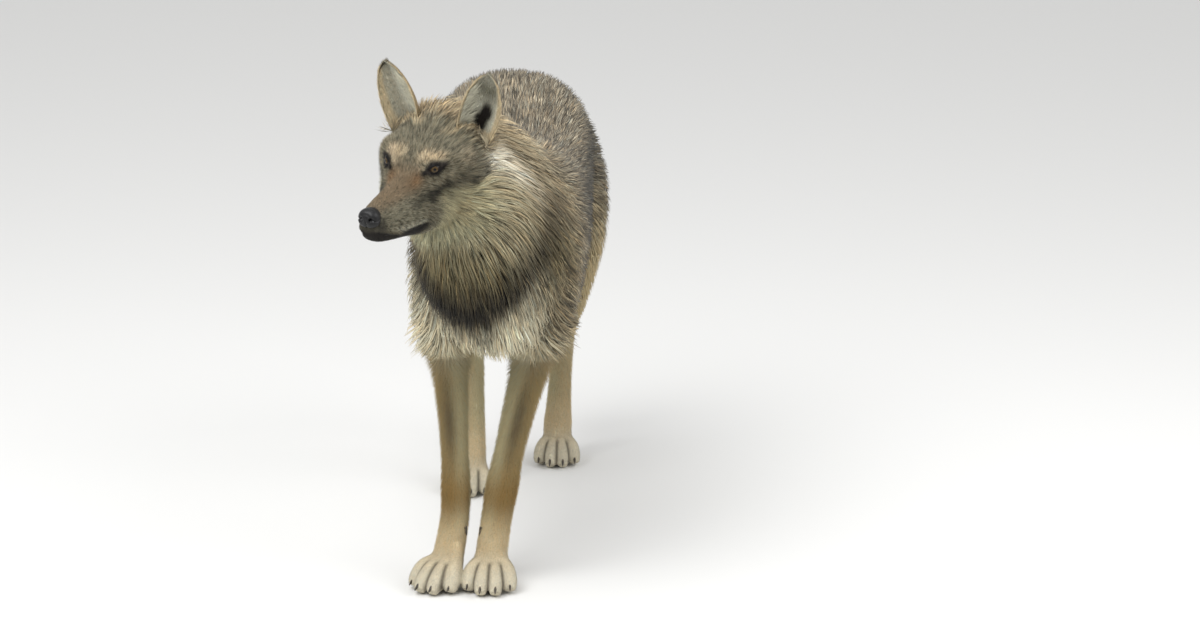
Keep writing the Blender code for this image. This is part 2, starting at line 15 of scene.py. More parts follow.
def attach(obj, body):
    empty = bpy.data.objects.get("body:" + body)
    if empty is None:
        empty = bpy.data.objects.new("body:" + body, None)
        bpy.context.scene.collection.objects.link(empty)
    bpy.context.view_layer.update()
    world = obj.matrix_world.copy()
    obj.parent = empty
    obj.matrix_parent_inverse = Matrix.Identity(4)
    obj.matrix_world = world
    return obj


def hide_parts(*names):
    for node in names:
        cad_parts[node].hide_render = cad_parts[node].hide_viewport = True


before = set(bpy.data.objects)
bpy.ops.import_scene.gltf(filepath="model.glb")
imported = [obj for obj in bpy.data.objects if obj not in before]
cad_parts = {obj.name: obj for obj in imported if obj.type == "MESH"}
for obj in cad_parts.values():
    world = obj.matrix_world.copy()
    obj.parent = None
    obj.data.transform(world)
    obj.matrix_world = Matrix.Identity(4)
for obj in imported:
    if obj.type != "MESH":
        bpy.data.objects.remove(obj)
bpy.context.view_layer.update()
rng = np.random.default_rng(11)

# ---- Measures ----------------------------------------------------------------------------------------------
MIDDLE = np.array((0.004, -0.049, 0.0))
SKIN_VOXEL = 0.0024               # the grid on which the flesh is joined
SKIN_TRIANGLES = 178000
SOLE = 0.0004                     # the lowest the skin reaches above the floor
FAR = 9.0                         # farther than anything that is compared with it

# A row is the middle of a ring (x, y, z), half its width, its reach to the front or top, its reach to the
# back or underside, and how deep the coat is over it.
TRUNK = np.array([
    (-0.018, 0.425, 0.585, 0.030, 0.040, 0.045, 0.016),    # end of the rump
    (-0.018, 0.395, 0.592, 0.084, 0.080, 0.085, 0.022),
    (-0.017, 0.330, 0.600, 0.124, 0.110, 0.120, 0.024),    # tail root
    (-0.013, 0.235, 0.603, 0.140, 0.121, 0.135, 0.024),    # croup
    (-0.004, 0.110, 0.588, 0.142, 0.125, 0.146, 0.024),    # loins
    (0.009, -0.020, 0.573, 0.141, 0.134, 0.165, 0.026),
    (0.020, -0.140, 0.566, 0.140, 0.150, 0.185, 0.028),    # ribs
    (0.024, -0.225, 0.566, 0.138, 0.168, 0.190, 0.032),    # withers
    (0.020, -0.300, 0.586, 0.134, 0.156, 0.180, 0.034),    # point of the shoulder
    (0.006, -0.358, 0.638, 0.124, 0.148, 0.160, 0.036),
    (-0.028, -0.406, 0.684, 0.116, 0.146, 0.138, 0.036),   # middle of the neck
    (-0.060, -0.450, 0.716, 0.097, 0.132, 0.112, 0.032),
    (-0.074, -0.488, 0.738, 0.060, 0.070, 0.076, 0.018),
    (-0.084, -0.512, 0.748, 0.020, 0.020, 0.020, 0.008),
])
TAIL = np.array([
    (-0.016, 0.375, 0.640, 0.030, 0.030, 0.030, 0.010),
    (-0.016, 0.420, 0.618, 0.036, 0.036, 0.036, 0.014),
    (-0.016, 0.466, 0.560, 0.044, 0.046, 0.044, 0.022),
    (-0.016, 0.490, 0.480, 0.050, 0.054, 0.050, 0.030),
    (-0.016, 0.500, 0.400, 0.050, 0.056, 0.052, 0.032),
    (-0.015, 0.502, 0.320, 0.042, 0.046, 0.043, 0.028),
    (-0.014, 0.500, 0.255, 0.024, 0.026, 0.025, 0.016),
    (-0.014, 0.498, 0.236, 0.010, 0.010, 0.010, 0.006),
])
# Both forelegs: how far back and how high a ring is, its reach to the front and back, and the coat's depth.
FORELEG = np.array([
    (-0.205, 0.665, 0.040, 0.040, 0.014),
    (-0.245, 0.590, 0.075, 0.078, 0.026),
    (-0.275, 0.510, 0.080, 0.084, 0.026),    # point of the shoulder
    (-0.262, 0.435, 0.060, 0.062, 0.018),    # elbow
    (-0.264, 0.370, 0.038, 0.043, 0.011),
    (-0.270, 0.285, 0.030, 0.032, 0.0070),   # forearm
    (-0.278, 0.210, 0.024, 0.027, 0.0055),
    (-0.283, 0.158, 0.027, 0.026, 0.0048),   # wrist
    (-0.288, 0.110, 0.0225, 0.024, 0.0045),  # pastern
    (-0.296, 0.065, 0.025, 0.025, 0.0040),
    (-0.304, 0.036, 0.027, 0.025, 0.0035),
])


def foreleg(aside, half):
    """A foreleg's rows, from how far to the left its rings are and half their widths."""
    return np.column_stack([aside, FORELEG[:, :2], half, FORELEG[:, 2:]])


LEGS = {
    "fore_left": foreleg(
        (0.082, 0.098, 0.098, 0.084, 0.075, 0.054, 0.037, 0.027, 0.019, 0.013, 0.011),
        (0.030, 0.054, 0.056, 0.046, 0.0365, 0.0300, 0.0270, 0.0295, 0.0275, 0.0275, 0.0290)),
    "fore_right": foreleg(
        (-0.042, -0.060, -0.066, -0.064, -0.060, -0.054, -0.050, -0.048, -0.049, -0.055, -0.060),
        (0.030, 0.054, 0.056, 0.046, 0.0350, 0.0285, 0.0250, 0.0265, 0.0260, 0.0265, 0.0290)),
    "hind_left": np.array([
        (0.074, 0.270, 0.625, 0.046, 0.070, 0.070, 0.020),     # hip
        (0.092, 0.262, 0.535, 0.056, 0.104, 0.104, 0.022),     # thigh
        (0.094, 0.245, 0.450, 0.052, 0.094, 0.098, 0.020),
        (0.086, 0.250, 0.380, 0.042, 0.064, 0.068, 0.015),     # knee
        (0.074, 0.292, 0.315, 0.032, 0.042, 0.042, 0.010),     # shank
        (0.060, 0.368, 0.255, 0.0245, 0.028, 0.028, 0.0065),
        (0.052, 0.420, 0.215, 0.0230, 0.025, 0.028, 0.0050),   # hock
        (0.048, 0.438, 0.165, 0.0215, 0.022, 0.025, 0.0045),
        (0.045, 0.433, 0.105, 0.0230, 0.021, 0.023, 0.0040),   # hind pastern
        (0.044, 0.419, 0.062, 0.0265, 0.022, 0.024, 0.0038),
        (0.044, 0.410, 0.036, 0.0270, 0.024, 0.024, 0.0035),
    ]),
    "hind_right": np.array([
        (-0.054, 0.265, 0.625, 0.046, 0.070, 0.070, 0.020),
        (-0.074, 0.240, 0.535, 0.056, 0.104, 0.104, 0.022),
        (-0.080, 0.195, 0.450, 0.050, 0.092, 0.096, 0.020),
        (-0.082, 0.176, 0.380, 0.040, 0.062, 0.066, 0.015),
        (-0.085, 0.194, 0.315, 0.031, 0.040, 0.042, 0.010),
        (-0.087, 0.240, 0.255, 0.0245, 0.028, 0.028, 0.0065),
        (-0.087, 0.270, 0.215, 0.0230, 0.025, 0.028, 0.0050),
        (-0.086, 0.274, 0.165, 0.0215, 0.022, 0.025, 0.0045),
        (-0.084, 0.256, 0.105, 0.0225, 0.021, 0.023, 0.0040),
        (-0.083, 0.234, 0.062, 0.0255, 0.022, 0.024, 0.0038),
        (-0.082, 0.222, 0.036, 0.0260, 0.024, 0.024, 0.0035),
    ]),
}

# A paw: the middle of its sole, how far its toes point outwards in degrees, and its scale.
PAWS = {
    "fore_left": ((0.012, -0.320), 2, 1.0),
    "fore_right": ((-0.063, -0.324), -24, 1.0),
    "hind_left": ((0.045, 0.402), 4, 0.9),
    "hind_right": ((-0.082, 0.213), -6, 0.9),
}
# A toe: how far to the side its tip and its root are, and how far ahead its tip is.
TOES = [
    (-0.0320, -0.0150, 0.038), (-0.0115, -0.0065, 0.058), (0.0115, 0.0065, 0.058), (0.0320, 0.0150, 0.038)]
# The pad of a paw from heel to toes: ahead, up, and its radius.
PAD = [(-0.034, 0.014, 0.012), (-0.020, 0.018, 0.022), (-0.004, 0.022, 0.026), (0.012, 0.020, 0.017)]
# The cushion under it, in the same way.
HEEL_PAD = [(-0.030, 0.0120, 0.0112), (-0.010, 0.0130, 0.0124), (0.008, 0.0130, 0.0124)]
PAW_COAT = 0.0014                 # the coat's depth over a paw
THIN = 0.002                      # the least radius of a toe or pad

NOSE_TIP = (-0.139, -0.645, 0.684)
HEAD_TURN, HEAD_DROOP, HEAD_ROLL = 22.5, 7.0, 3.0
# A ring of the head: behind the nose tip, the height of its middle, half its width, its reach up and down,
# how much its top is narrowed, how square it is, and the coat's depth on top and at the cheeks.
HEAD = np.array([
    (0.008, -0.008, 0.0150, 0.0130, 0.0230, 0.10, 2.4, 0.0012, 0.0012),
    (0.022, -0.008, 0.0215, 0.0230, 0.0345, 0.22, 2.6, 0.0018, 0.0020),
    (0.050, -0.009, 0.0290, 0.0300, 0.0400, 0.28, 2.6, 0.0024, 0.0028),
    (0.080, -0.010, 0.0350, 0.0360, 0.0450, 0.28, 2.5, 0.0028, 0.0040),
    (0.108, -0.009, 0.0410, 0.0420, 0.0540, 0.28, 2.3, 0.0034, 0.0065),
    (0.130, -0.005, 0.0530, 0.0520, 0.0650, 0.16, 2.3, 0.0045, 0.0100),
    (0.152, 0.000, 0.0660, 0.0660, 0.0740, 0.08, 2.3, 0.0055, 0.0140),
    (0.178, 0.003, 0.0820, 0.0800, 0.0850, 0.08, 2.2, 0.0070, 0.0190),
    (0.205, 0.003, 0.0930, 0.0900, 0.0940, 0.12, 2.1, 0.0095, 0.0240),
    (0.235, 0.002, 0.0990, 0.1040, 0.1000, 0.14, 2.1, 0.0160, 0.0280),
    (0.262, -0.002, 0.0860, 0.1100, 0.0860, 0.12, 2.0, 0.0240, 0.0300),
])
# Swellings and hollows on both sides of the head: behind the nose tip, to the side, up, their reach along the
# head, sideways and up, and their height.
HEAD_FORMS = {
    "brow": (0.150, 0.030, 0.058, 0.016, 0.016, 0.012, 0.0055),
    "eyelids": (0.144, 0.046, 0.040, 0.012, 0.012, 0.010, 0.0015),
    "cheekbone": (0.172, 0.070, 0.012, 0.024, 0.020, 0.016, 0.0010),
    "muzzle_side": (0.100, 0.034, 0.012, 0.030, 0.014, 0.016, -0.0040),
    "forehead_groove": (0.150, 0.000, 0.062, 0.026, 0.008, 0.020, -0.0030),
    "lip": (0.055, 0.026, -0.020, 0.030, 0.012, 0.010, 0.0025),
    "temple": (0.182, 0.074, 0.054, 0.021, 0.018, 0.018, 0.0120),
    "orbit": (0.150, 0.064, 0.016, 0.018, 0.016, 0.018, -0.0075),
}
LIP_BACK = 0.112                  # behind the nose tip: the corner of the mouth
LIP_LINE = np.array([(0.000, -0.0225), (0.030, -0.0300), (0.070, -0.0370), (LIP_BACK, -0.0385)])

EYE_RADIUS = 0.0118
EYE_AT = np.array((0.0368, 0.1485, 0.0408))      # to the side, behind the nose tip and up
EYE_FACING = np.array((0.60, -0.78, 0.14))       # the way an eye looks, in the head's frame
EYE_SLANT = np.array((0.70, 0.48, 0.30))         # from the inner to the outer corner
EYE_LONG, EYE_HIGH = 0.0105, 0.0047              # half the opening's length and height

EAR_ROOT = (0.058, 0.228, 0.055)
EAR_LENGTH, EAR_HALF_WIDTH = 0.117, 0.0365
EAR_CUP = 0.033                   # how far the middle of an ear's root lies behind its edges
EAR_WALL = 0.0034                 # how thick it is
EAR_LEAN = 0.006                  # how far its tip leans back
EAR_NARROWED = 0.34               # the share by which its root is narrower
EAR_SPREAD = {"left": (16, 18, -8), "right": (16, 2, -4)}    # degrees: leant out, turned out, tilted
EAR_BEND = {"left": -0.007, "right": 0.013}                  # how far the tip bends outwards
SIDE_OF = {"left": 1, "right": -1}


# ---- Small tools -------------------------------------------------------------------------------------------
def unit(vectors):
    return vectors / np.maximum(np.linalg.norm(vectors, axis=-1, keepdims=True), 1e-9)


def ease(values, low, high):
    """0 at low, 1 at high, with a soft start and end between them."""
    t = np.clip((values - low) / (high - low), 0.0, 1.0)
    return t * t * (3 - 2 * t)


def bump(values, middle, reach):
    """1 at the middle, falling off on both sides as a bell."""
    return np.exp(-(((values - middle) / reach) ** 2) / 2)


def spot(points, middle, reach):
    """1 at a place in space, falling off as a bell with its own reach along each axis."""
    return np.exp(-(((points - np.array(middle)) / np.array(reach)) ** 2).sum(axis=-1) / 2)


def stroke(points, path, reach):
    """1 along a broken line through space, falling off as a bell away from it."""
    path = np.array(path)
    nearest = np.full(len(points), FAR)
    for start, end in zip(path[:-1], path[1:]):
        t = np.clip((points - start) @ (end - start) / ((end - start) ** 2).sum(), 0, 1)
        nearest = np.minimum(nearest, np.linalg.norm(points - start - t[:, None] * (end - start), axis=1))
    return np.exp(-((nearest / reach) ** 2) / 2)


def between(below, above, share):
    """Numbers a share of the way from the ones below to the ones above."""
    return below * (1 - share) + above * share


def mix(below, above, share):
    """Colours or directions a share of the way from the ones below to the ones above."""
    return between(below, np.array(above), np.asarray(share)[..., None])


def layered(base, *layers, blend=mix):
    """Values that change to others, one after the other, each by its share: colours are painted over so."""
    for above, share in layers:
        base = blend(base, above, share)
    return base


def smooth_rows(rows, count):
    """The rows' values at count even steps, on a Catmull-Rom curve through the given rows."""
    known = np.asarray(rows, float)
    padded = np.vstack([2 * known[0] - known[1], known, 2 * known[-1] - known[-2]])
    where = np.linspace(0, len(known) - 1, count)
    first = np.minimum(where.astype(int), len(known) - 2)
    t = (where - first)[:, None]
    a, b, c, d = (padded[first + k] for k in range(4))
    return 0.5 * (2 * b + (c - a) * t + (2 * a - 5 * b + 4 * c - d) * t**2 + (3 * b - a - 3 * c + d) * t**3)


def full_turn(count):
    return np.linspace(0, 2 * math.pi, count, endpoint=False)


def signed_power(values, power):
    return np.sign(values) * np.abs(values) ** power


def frame_of(turns, place):
    """A placing matrix: a move to a place, then turns in degrees about the named axes, the last one first."""
    matrix = Matrix.Translation(place)
    for degrees, axis in turns:
        matrix = matrix @ Matrix.Rotation(math.radians(degrees), 4, axis)
    return np.array(matrix)


HEAD_PLACE = frame_of(((-HEAD_TURN, "Z"), (HEAD_DROOP, "X"), (HEAD_ROLL, "Y")), np.array(NOSE_TIP) - MIDDLE)


def placed(points, matrix=HEAD_PLACE):
    return points @ matrix[:3, :3].T + matrix[:3, 3]


def unplaced(points, matrix):
    return (points - matrix[:3, 3]) @ matrix[:3, :3]


def mesh_object(name, points, faces, paint, smooth=True):
    """A mesh from an array of points and arrays of triangles or quads."""
    data = bpy.data.meshes.new(name)
    data.vertices.add(len(points))
    data.vertices.foreach_set("co", np.ascontiguousarray(points, dtype=np.float32).ravel())
    faces = [np.asarray(block) for block in faces if len(block)]
    corners = np.concatenate([block.ravel() for block in faces])
    sizes = np.concatenate([np.full(len(block), block.shape[1]) for block in faces])
    data.loops.add(len(corners))
    data.loops.foreach_set("vertex_index", corners.astype(np.int32))
    data.polygons.add(len(sizes))
    data.polygons.foreach_set("loop_start", (np.cumsum(sizes) - sizes).astype(np.int32))
    data.update(calc_edges=True)
    data.polygons.foreach_set("use_smooth", np.full(len(sizes), smooth))
    if paint:
        data.materials.append(paint)
    made = bpy.data.objects.new(name, data)
    bpy.context.scene.collection.objects.link(made)
    return made


def grid_faces(rows, columns, closed, start=0):
    """Quads between neighbouring rows of a grid of points, closed round or open across."""
    row = np.arange(rows - 1)[:, None]
    column = np.arange(columns if closed else columns - 1)[None, :]
    after = (column + 1) % columns
    below = (row + 1) * columns
    quads = [row * columns + column, row * columns + after, below + after, below + column]
    return np.stack(np.broadcast_arrays(*quads), axis=-1).reshape(-1, 4) + start


def closed_tube(rings):
    """Points and faces of rings carried along a path, with a pole at each end. The faces point outwards."""
    count, sides, _ = rings.shape
    points = np.vstack([rings.reshape(-1, 3), rings[0].mean(axis=0), rings[-1].mean(axis=0)])
    quads = grid_faces(count, sides, True)
    i = np.arange(sides)
    j = (i + 1) % sides
    first, last = count * sides, count * sides + 1
    near = np.stack([j, i, np.full(sides, first)], axis=-1)
    far = np.stack([(count - 1) * sides + i, (count - 1) * sides + j, np.full(sides, last)], axis=-1)
    a, b, c = (points[quads[:, k]] for k in range(3))
    volume = np.einsum("ij,ij->i", a - points.mean(axis=0), np.cross(b - a, c - a)).sum()
    if volume < 0:
        quads, near, far = quads[:, ::-1], near[:, ::-1], far[:, ::-1]
    return points, [quads, np.vstack([near, far])]


def join_parts(parts):
    """Several (points, faces) shapes as one."""
    points, faces, start = [], [], 0
    for some, blocks in parts:
        points.append(some)
        faces += [block + start for block in blocks]
        start += len(some)
    return np.vstack(points), faces


def limb_rings(rows, count, sides, turn=0.0, square=2.0):
    """Rings that stand square to a path through the rows' middles, each a rounded outline of its reaches."""
    table = smooth_rows(rows, count)
    middles = table[:, :3] - MIDDLE
    ahead = unit(np.gradient(middles, axis=0))
    across = np.array([math.cos(math.radians(turn)), math.sin(math.radians(turn)), 0.0])
    side = unit(across - ahead * (ahead @ across)[:, None])
    up = np.cross(ahead, side)
    coat = np.minimum(table[:, 6:7], 0.6 * table[:, 3:6]) if table.shape[1] > 6 else 0.0
    half, rise, drop = np.maximum(table[:, 3:6] - coat, 0.001).T[:, :, None]
    angle = full_turn(sides)[None, :]
    sideways = half * signed_power(np.cos(angle), 2 / square)
    upwards = signed_power(np.sin(angle), 2 / square)
    upwards = upwards * np.where(upwards > 0, rise, drop)
    return middles[:, None] + sideways[..., None] * side[:, None] + upwards[..., None] * up[:, None]


def settle(piece):
    """Turns a piece's modifiers into its mesh."""
    graph = bpy.context.evaluated_depsgraph_get()
    made = bpy.data.meshes.new_from_object(piece.evaluated_get(graph))
    piece.modifiers.clear()
    piece.data = made


def vectors_of(items, label, kind=np.float32, size=3):
    """Blender's values, such as its vertices' places, as an array with a row for each item."""
    values = np.empty(len(items) * size, kind)
    items.foreach_get(label, values)
    return values.reshape(-1, size)


def points_of(mesh):
    return vectors_of(mesh.vertices, "co").astype(float)


def tree_of(points, indices):
    """A search tree for the nearest of the points that the indices name."""
    tree = KDTree(len(indices))
    for index, point in zip(indices, points[indices].tolist()):
        tree.insert(point, int(index))
    tree.balance()
    return tree


def nearest_in(tree, points):
    return np.array([tree.find(point)[1] for point in points.tolist()])


def head_value(back, column):
    """A column of the head's table, so far behind the nose tip."""
    return np.interp(back, HEAD[:, 0], HEAD[:, column])


def lip_height(back):
    """The height of the line of the mouth, so far behind the nose tip."""
    return np.interp(back, *LIP_LINE.T)


def eye_middle(side):
    return EYE_AT * np.array((side, 1.0, 1.0))


def along_opening(a):
    """How much an eye's opening narrows towards its corners, at a share a of the way to a corner."""
    return np.maximum(1 - 0.35 * np.minimum(np.abs(a), 1.3) ** 2, 0.3)


def eye_axes(side):
    """The way an eye looks, and the directions along and across its opening, in the head's frame."""
    mirror = np.array((side, 1.0, 1.0))
    facing = unit(EYE_FACING * mirror)
    along = EYE_SLANT * mirror
    along = unit(along - facing * (along @ facing))
    across = np.cross(facing, along) * side
    return facing, along, across


def opening_of_eye(points, side):
    """How far points of the head lie from an eye's middle, 1 being the rim of its almond-shaped opening."""
    facing, along, across = eye_axes(side)
    offset = points - eye_middle(side)
    a = offset @ along / EYE_LONG
    b = offset @ across / EYE_HIGH / along_opening(a)
    return np.sqrt(a**2 + b**2), offset @ facing


# ---- Flesh -------------------------------------------------------------------------------------------------
SOCKET_DEPTH = EYE_RADIUS - 0.0060           # how far from an eye's middle the skin lies inside its opening
LID_DEPTH = EYE_RADIUS + 0.0002              # and round it
IN_FRONT = -0.004                            # from so far ahead of an eye's middle, a point is in front of it


def head_points(count, sides):
    """The head's skin: rounded outlines along the head, pushed out and in by its forms, less the coat's
    depth. The lips are a groove along the line of the mouth, and each eye has a hollow with lids round it."""
    columns = smooth_rows(HEAD, count).T[:, :, None]
    back, mid, half, rise, drop, pinch, square, coat_top, coat_cheek = columns
    angle = full_turn(sides)[None, :]
    across = signed_power(np.cos(angle), 2 / square)
    height = signed_power(np.sin(angle), 2 / square)
    across = across * (1 - pinch * height)
    points = np.stack(np.broadcast_arrays(
        half * across, back, mid + height * np.where(height > 0, rise, drop)), axis=-1)
    centre = np.stack(np.broadcast_arrays(0 * across, back, mid), axis=-1)
    outward = unit(points - centre)
    both = np.abs(points[..., 0])
    push = np.zeros(both.shape)
    for form_back, form_side, form_up, along, sideways, upwards, tall in HEAD_FORMS.values():
        push += tall * bump(points[..., 1], form_back, along) * bump(both, form_side, sideways) * bump(
            points[..., 2], form_up, upwards)
    cheek = ease(-height, -0.55, 0.25)
    push -= coat_top * (1 - cheek) + coat_cheek * cheek
    lips = points[..., 2] - lip_height(points[..., 1])
    mouth = ease(points[..., 1], LIP_BACK + 0.012, LIP_BACK - 0.004) * ease(points[..., 1], 0.006, 0.016)
    push += mouth * (0.0016 * bump(lips, 0.0055, 0.003) - 0.0036 * bump(lips, -0.0004, 0.0018))
    points = points + outward * push[..., None]
    for side in SIDE_OF.values():
        distance, depth = opening_of_eye(points, side)
        facing, _, _ = eye_axes(side)
        target = SOCKET_DEPTH + (LID_DEPTH - SOCKET_DEPTH) * ease(distance, 0.9, 1.5)
        share = (depth > IN_FRONT) * ease(distance, 2.6, 1.35)
        points = points + facing * (share * (target - depth))[..., None]
    return points


def ear_frame(name):
    """The place of an ear: from its root up along it, with its inside facing -Y."""
    side = SIDE_OF[name]
    spread, turned, tilt = EAR_SPREAD[name]
    local = frame_of(((side * spread, "Y"), (tilt, "X"), (side * turned, "Z")),
                     np.array(EAR_ROOT) * np.array((side, 1.0, 1.0)))
    return HEAD_PLACE @ local


def ear_form(name, u, narrowing=1.0):
    """At a share u of an ear's length: half its width, how far its middle line bends to the side, and how far
    that line lies behind its edges."""
    width = EAR_HALF_WIDTH * (1 - narrowing * u**2.7) ** 0.56 * (1 - EAR_NARROWED * (1 - u) ** 3)
    return width, SIDE_OF[name] * EAR_BEND[name] * u**2, EAR_CUP * (1 - 0.75 * u)


def ear_surface(name, u, v, depth):
    """A point of an ear: u runs from its root to its tip, v across it, and depth is 0 inside, 1 outside."""
    width, bend, cup = ear_form(name, u)
    x = (width - 0.0012) * np.sin(v * 1.25) / math.sin(1.25) + bend
    wall = EAR_WALL * depth * (1 - 0.45 * np.abs(v) ** 3) * (1 - 0.55 * u**6)
    fold = 0.0022 * bump(v, 0.35 * SIDE_OF[name], 0.12) * (1 - u) ** 1.5 * (1 - depth)
    y = 0.0006 + cup * (1 - v**2) + wall + EAR_LEAN * u**2 - fold
    return np.stack([x, y, u * (EAR_LENGTH - 0.0015)], axis=-1)


def ear_shape(name):
    """A closed shell: loops round the ear's section, out along its inside and back along its outside."""
    rows, columns = 44, 26
    u = (1 - (1 - np.linspace(0, 1, rows)) ** 1.6)[:, None]
    across = np.linspace(-1, 1, columns)
    v = np.concatenate([across, across[::-1]])[None, :]
    depth = np.repeat((0.0, 1.0), columns)[None, :]
    u, v, depth = np.broadcast_arrays(np.minimum(u, 0.9985), v, depth)
    return closed_tube(placed(ear_surface(name, u, v, depth), ear_frame(name)))


def paw_turn(toe_out):
    """How a paw is turned about the vertical, by how far its toes point outwards in degrees."""
    return np.array(Matrix.Rotation(math.radians(toe_out), 3, "Z"))


def paw_parts(name):
    """The pads and the toes of a paw, each a row of round rings of its own radius."""
    middle, toe_out, scale = PAWS[name]
    turn = paw_turn(toe_out)
    parts = []

    def add_row(count, sides, steps):
        rows = []
        for side, ahead, up, radius in steps:
            x, y, z = turn @ np.array((side, -ahead, up)) * scale
            rows.append((middle[0] + x, middle[1] + y, z, *[max(radius * scale - PAW_COAT, THIN)] * 3))
        parts.append(closed_tube(limb_rings(rows, count, sides, toe_out)))

    add_row(24, 28, [(0, *step) for step in PAD])
    for tip, root, ahead in TOES:
        add_row(24, 24, [
            (root * 0.60, -0.022, 0.066, 0.0120), (root, -0.008, 0.040, 0.0150),
            (tip * 0.85, ahead * 0.42, 0.0330, 0.0140), (tip, ahead * 0.78, 0.0190, 0.0138),
            (tip * 1.06, ahead, 0.0060, 0.0105)])
        add_row(18, 20, [
            (root, -0.008, 0.0125, 0.0120), (tip * 0.8, ahead * 0.45, 0.0120, 0.0118),
            (tip * 1.02, ahead * 0.86, 0.0115, 0.0112)])
    add_row(18, 24, [(0, *step) for step in HEEL_PAD])
    return parts


def make_skin():
    """The flesh under the coat. Trunk, limbs, paws and head run into each other and are joined on a fine
    grid, which is smoothed and thinned, and the ears are joined to it."""
    parts = [closed_tube(limb_rings(TRUNK, 90, 72, square=2.25)), closed_tube(limb_rings(TAIL, 40, 32))]
    for name, rows in LEGS.items():
        parts.append(closed_tube(limb_rings(rows, 90, 40)))
        parts += paw_parts(name)
    parts.append(closed_tube(placed(head_points(150, 132))))
    whole = mesh_object("skin", *join_parts(parts), None)
    voxels = whole.modifiers.new("voxels", "REMESH")
    voxels.mode = "VOXEL"
    voxels.voxel_size = SKIN_VOXEL
    smooth = whole.modifiers.new("smooth", "SMOOTH")
    smooth.factor, smooth.iterations = 0.5, 5
    settle(whole)
    thin = whole.modifiers.new("thin", "DECIMATE")
    thin.ratio = min(1.0, SKIN_TRIANGLES / (2 * len(whole.data.polygons)))
    settle(whole)
    for name in SIDE_OF:
        ear = mesh_object("ear_shape", *ear_shape(name), None)
        step = whole.modifiers.new("ear", "BOOLEAN")
        step.operation, step.solver, step.object = "UNION", "MANIFOLD", ear
        settle(whole)
        bpy.data.objects.remove(ear)
    points = points_of(whole.data)
    points[:, 2] = np.maximum(points[:, 2], SOLE)
    whole.data.vertices.foreach_set("co", points.astype(np.float32).ravel())
    whole.data.update()
    whole.data.polygons.foreach_set("use_smooth", np.full(len(whole.data.polygons), True))
    return whole


# ---- Lie of the coat ---------------------------------------------------------------------------------------
COMBINGS = 14                     # how many times the way of the coat is evened out


def along_limb(points, rows, count=70):
    """For points: how far along a limb their nearest ring is (0 to 1), their distance from its middle as a
    share of the ring's mean reach, the limb's direction there, and the ring's middle."""
    table = smooth_rows(rows[:, :6], count)
    middles = table[:, :3] - MIDDLE
    reach = (2 * table[:, 3] + table[:, 4] + table[:, 5]) / 4
    apart = np.sqrt(np.maximum(
        (points**2).sum(axis=1)[:, None] - 2 * points @ middles.T + (middles**2).sum(axis=1)[None, :], 0.0))
    score = apart / np.maximum(reach, 0.02)
    nearest = score.argmin(axis=1)
    ahead = unit(np.gradient(middles, axis=0))
    return nearest / (count - 1), score[np.arange(len(points)), nearest], ahead[nearest], middles[nearest]


class Fields:
    """Values for each vertex of the skin, or for each root of the coat."""


def skin_fields(skin):
    """Where each vertex of the skin belongs, and which way, how long and how deep the coat lies there."""
    f = Fields()
    f.points = points_of(skin.data)
    f.normals = vectors_of(skin.data.vertex_normals, "vector").astype(float)
    f.edges = vectors_of(skin.data.edges, "vertices", np.int32, 2)
    f.place = f.points + MIDDLE
    f.head = unplaced(f.points, HEAD_PLACE)
    find_limbs(f)
    find_head(f)
    find_ears(f)
    find_toe_gaps(f)
    comb_coat(f)
    measure_coat(f)
    f.tree = tree_of(f.points, np.arange(len(f.points)))
    return f


def find_limbs(f):
    """How far along trunk, tail and leg each vertex is, and how far it belongs to tail, leg and paw."""
    p, height = f.place, f.place[:, 2]
    f.trunk_at, _, f.trunk_way, _ = along_limb(f.points, TRUNK)
    f.tail_at, tail_far, f.tail_way, _ = along_limb(f.points, TAIL)
    f.leg, f.leg_at, leg_far = np.full(len(p), -1), np.zeros(len(p)), np.full(len(p), FAR)
    f.leg_way, f.leg_mid = np.zeros((2, len(p), 3))
    for index, rows in enumerate(LEGS.values()):
        at, far, way, middle = along_limb(f.points, rows)
        near = far < leg_far
        f.leg[near], f.leg_at[near], leg_far[near] = index, at[near], far[near]
        f.leg_way[near], f.leg_mid[near] = way[near], middle[near]
    foot = height < 0.09
    apart = [np.hypot(p[foot, 0] - middle[0], p[foot, 1] - middle[1]) for middle, _, _ in PAWS.values()]
    f.leg[foot] = np.stack(apart).argmin(axis=0)
    f.is_fore = f.leg < 2
    top = np.where(f.is_fore, 0.46, 0.54)
    f.near_leg = np.maximum(ease(leg_far, 1.6, 1.25), ease(height, 0.12, 0.09))
    f.is_tail = ease(tail_far, 1.35, 1.1) * ease(p[:, 1], 0.430, 0.462)
    f.is_leg = ease(height, top, top - 0.14) * f.near_leg * (1 - f.is_tail)
    f.is_paw = ease(height, 0.075, 0.045) * f.is_leg


def find_head(f):
    """How far each vertex belongs to the head, and how far from the middle of an eye's opening it lies."""
    side, back, up = f.head.T
    over = up - head_value(back, 1)
    reach = np.where(over > 0, head_value(back, 3), head_value(back, 4))
    f.near_head = ease(np.hypot(side / head_value(back, 2), over / reach), 1.30, 1.12)
    f.is_head = f.near_head * ease(back, 0.262, 0.222)
    f.lid = np.full(len(f.head), FAR)
    for sign in SIDE_OF.values():
        distance, depth = opening_of_eye(f.head, sign)
        f.lid = np.minimum(f.lid, np.where(depth > IN_FRONT, distance, FAR))


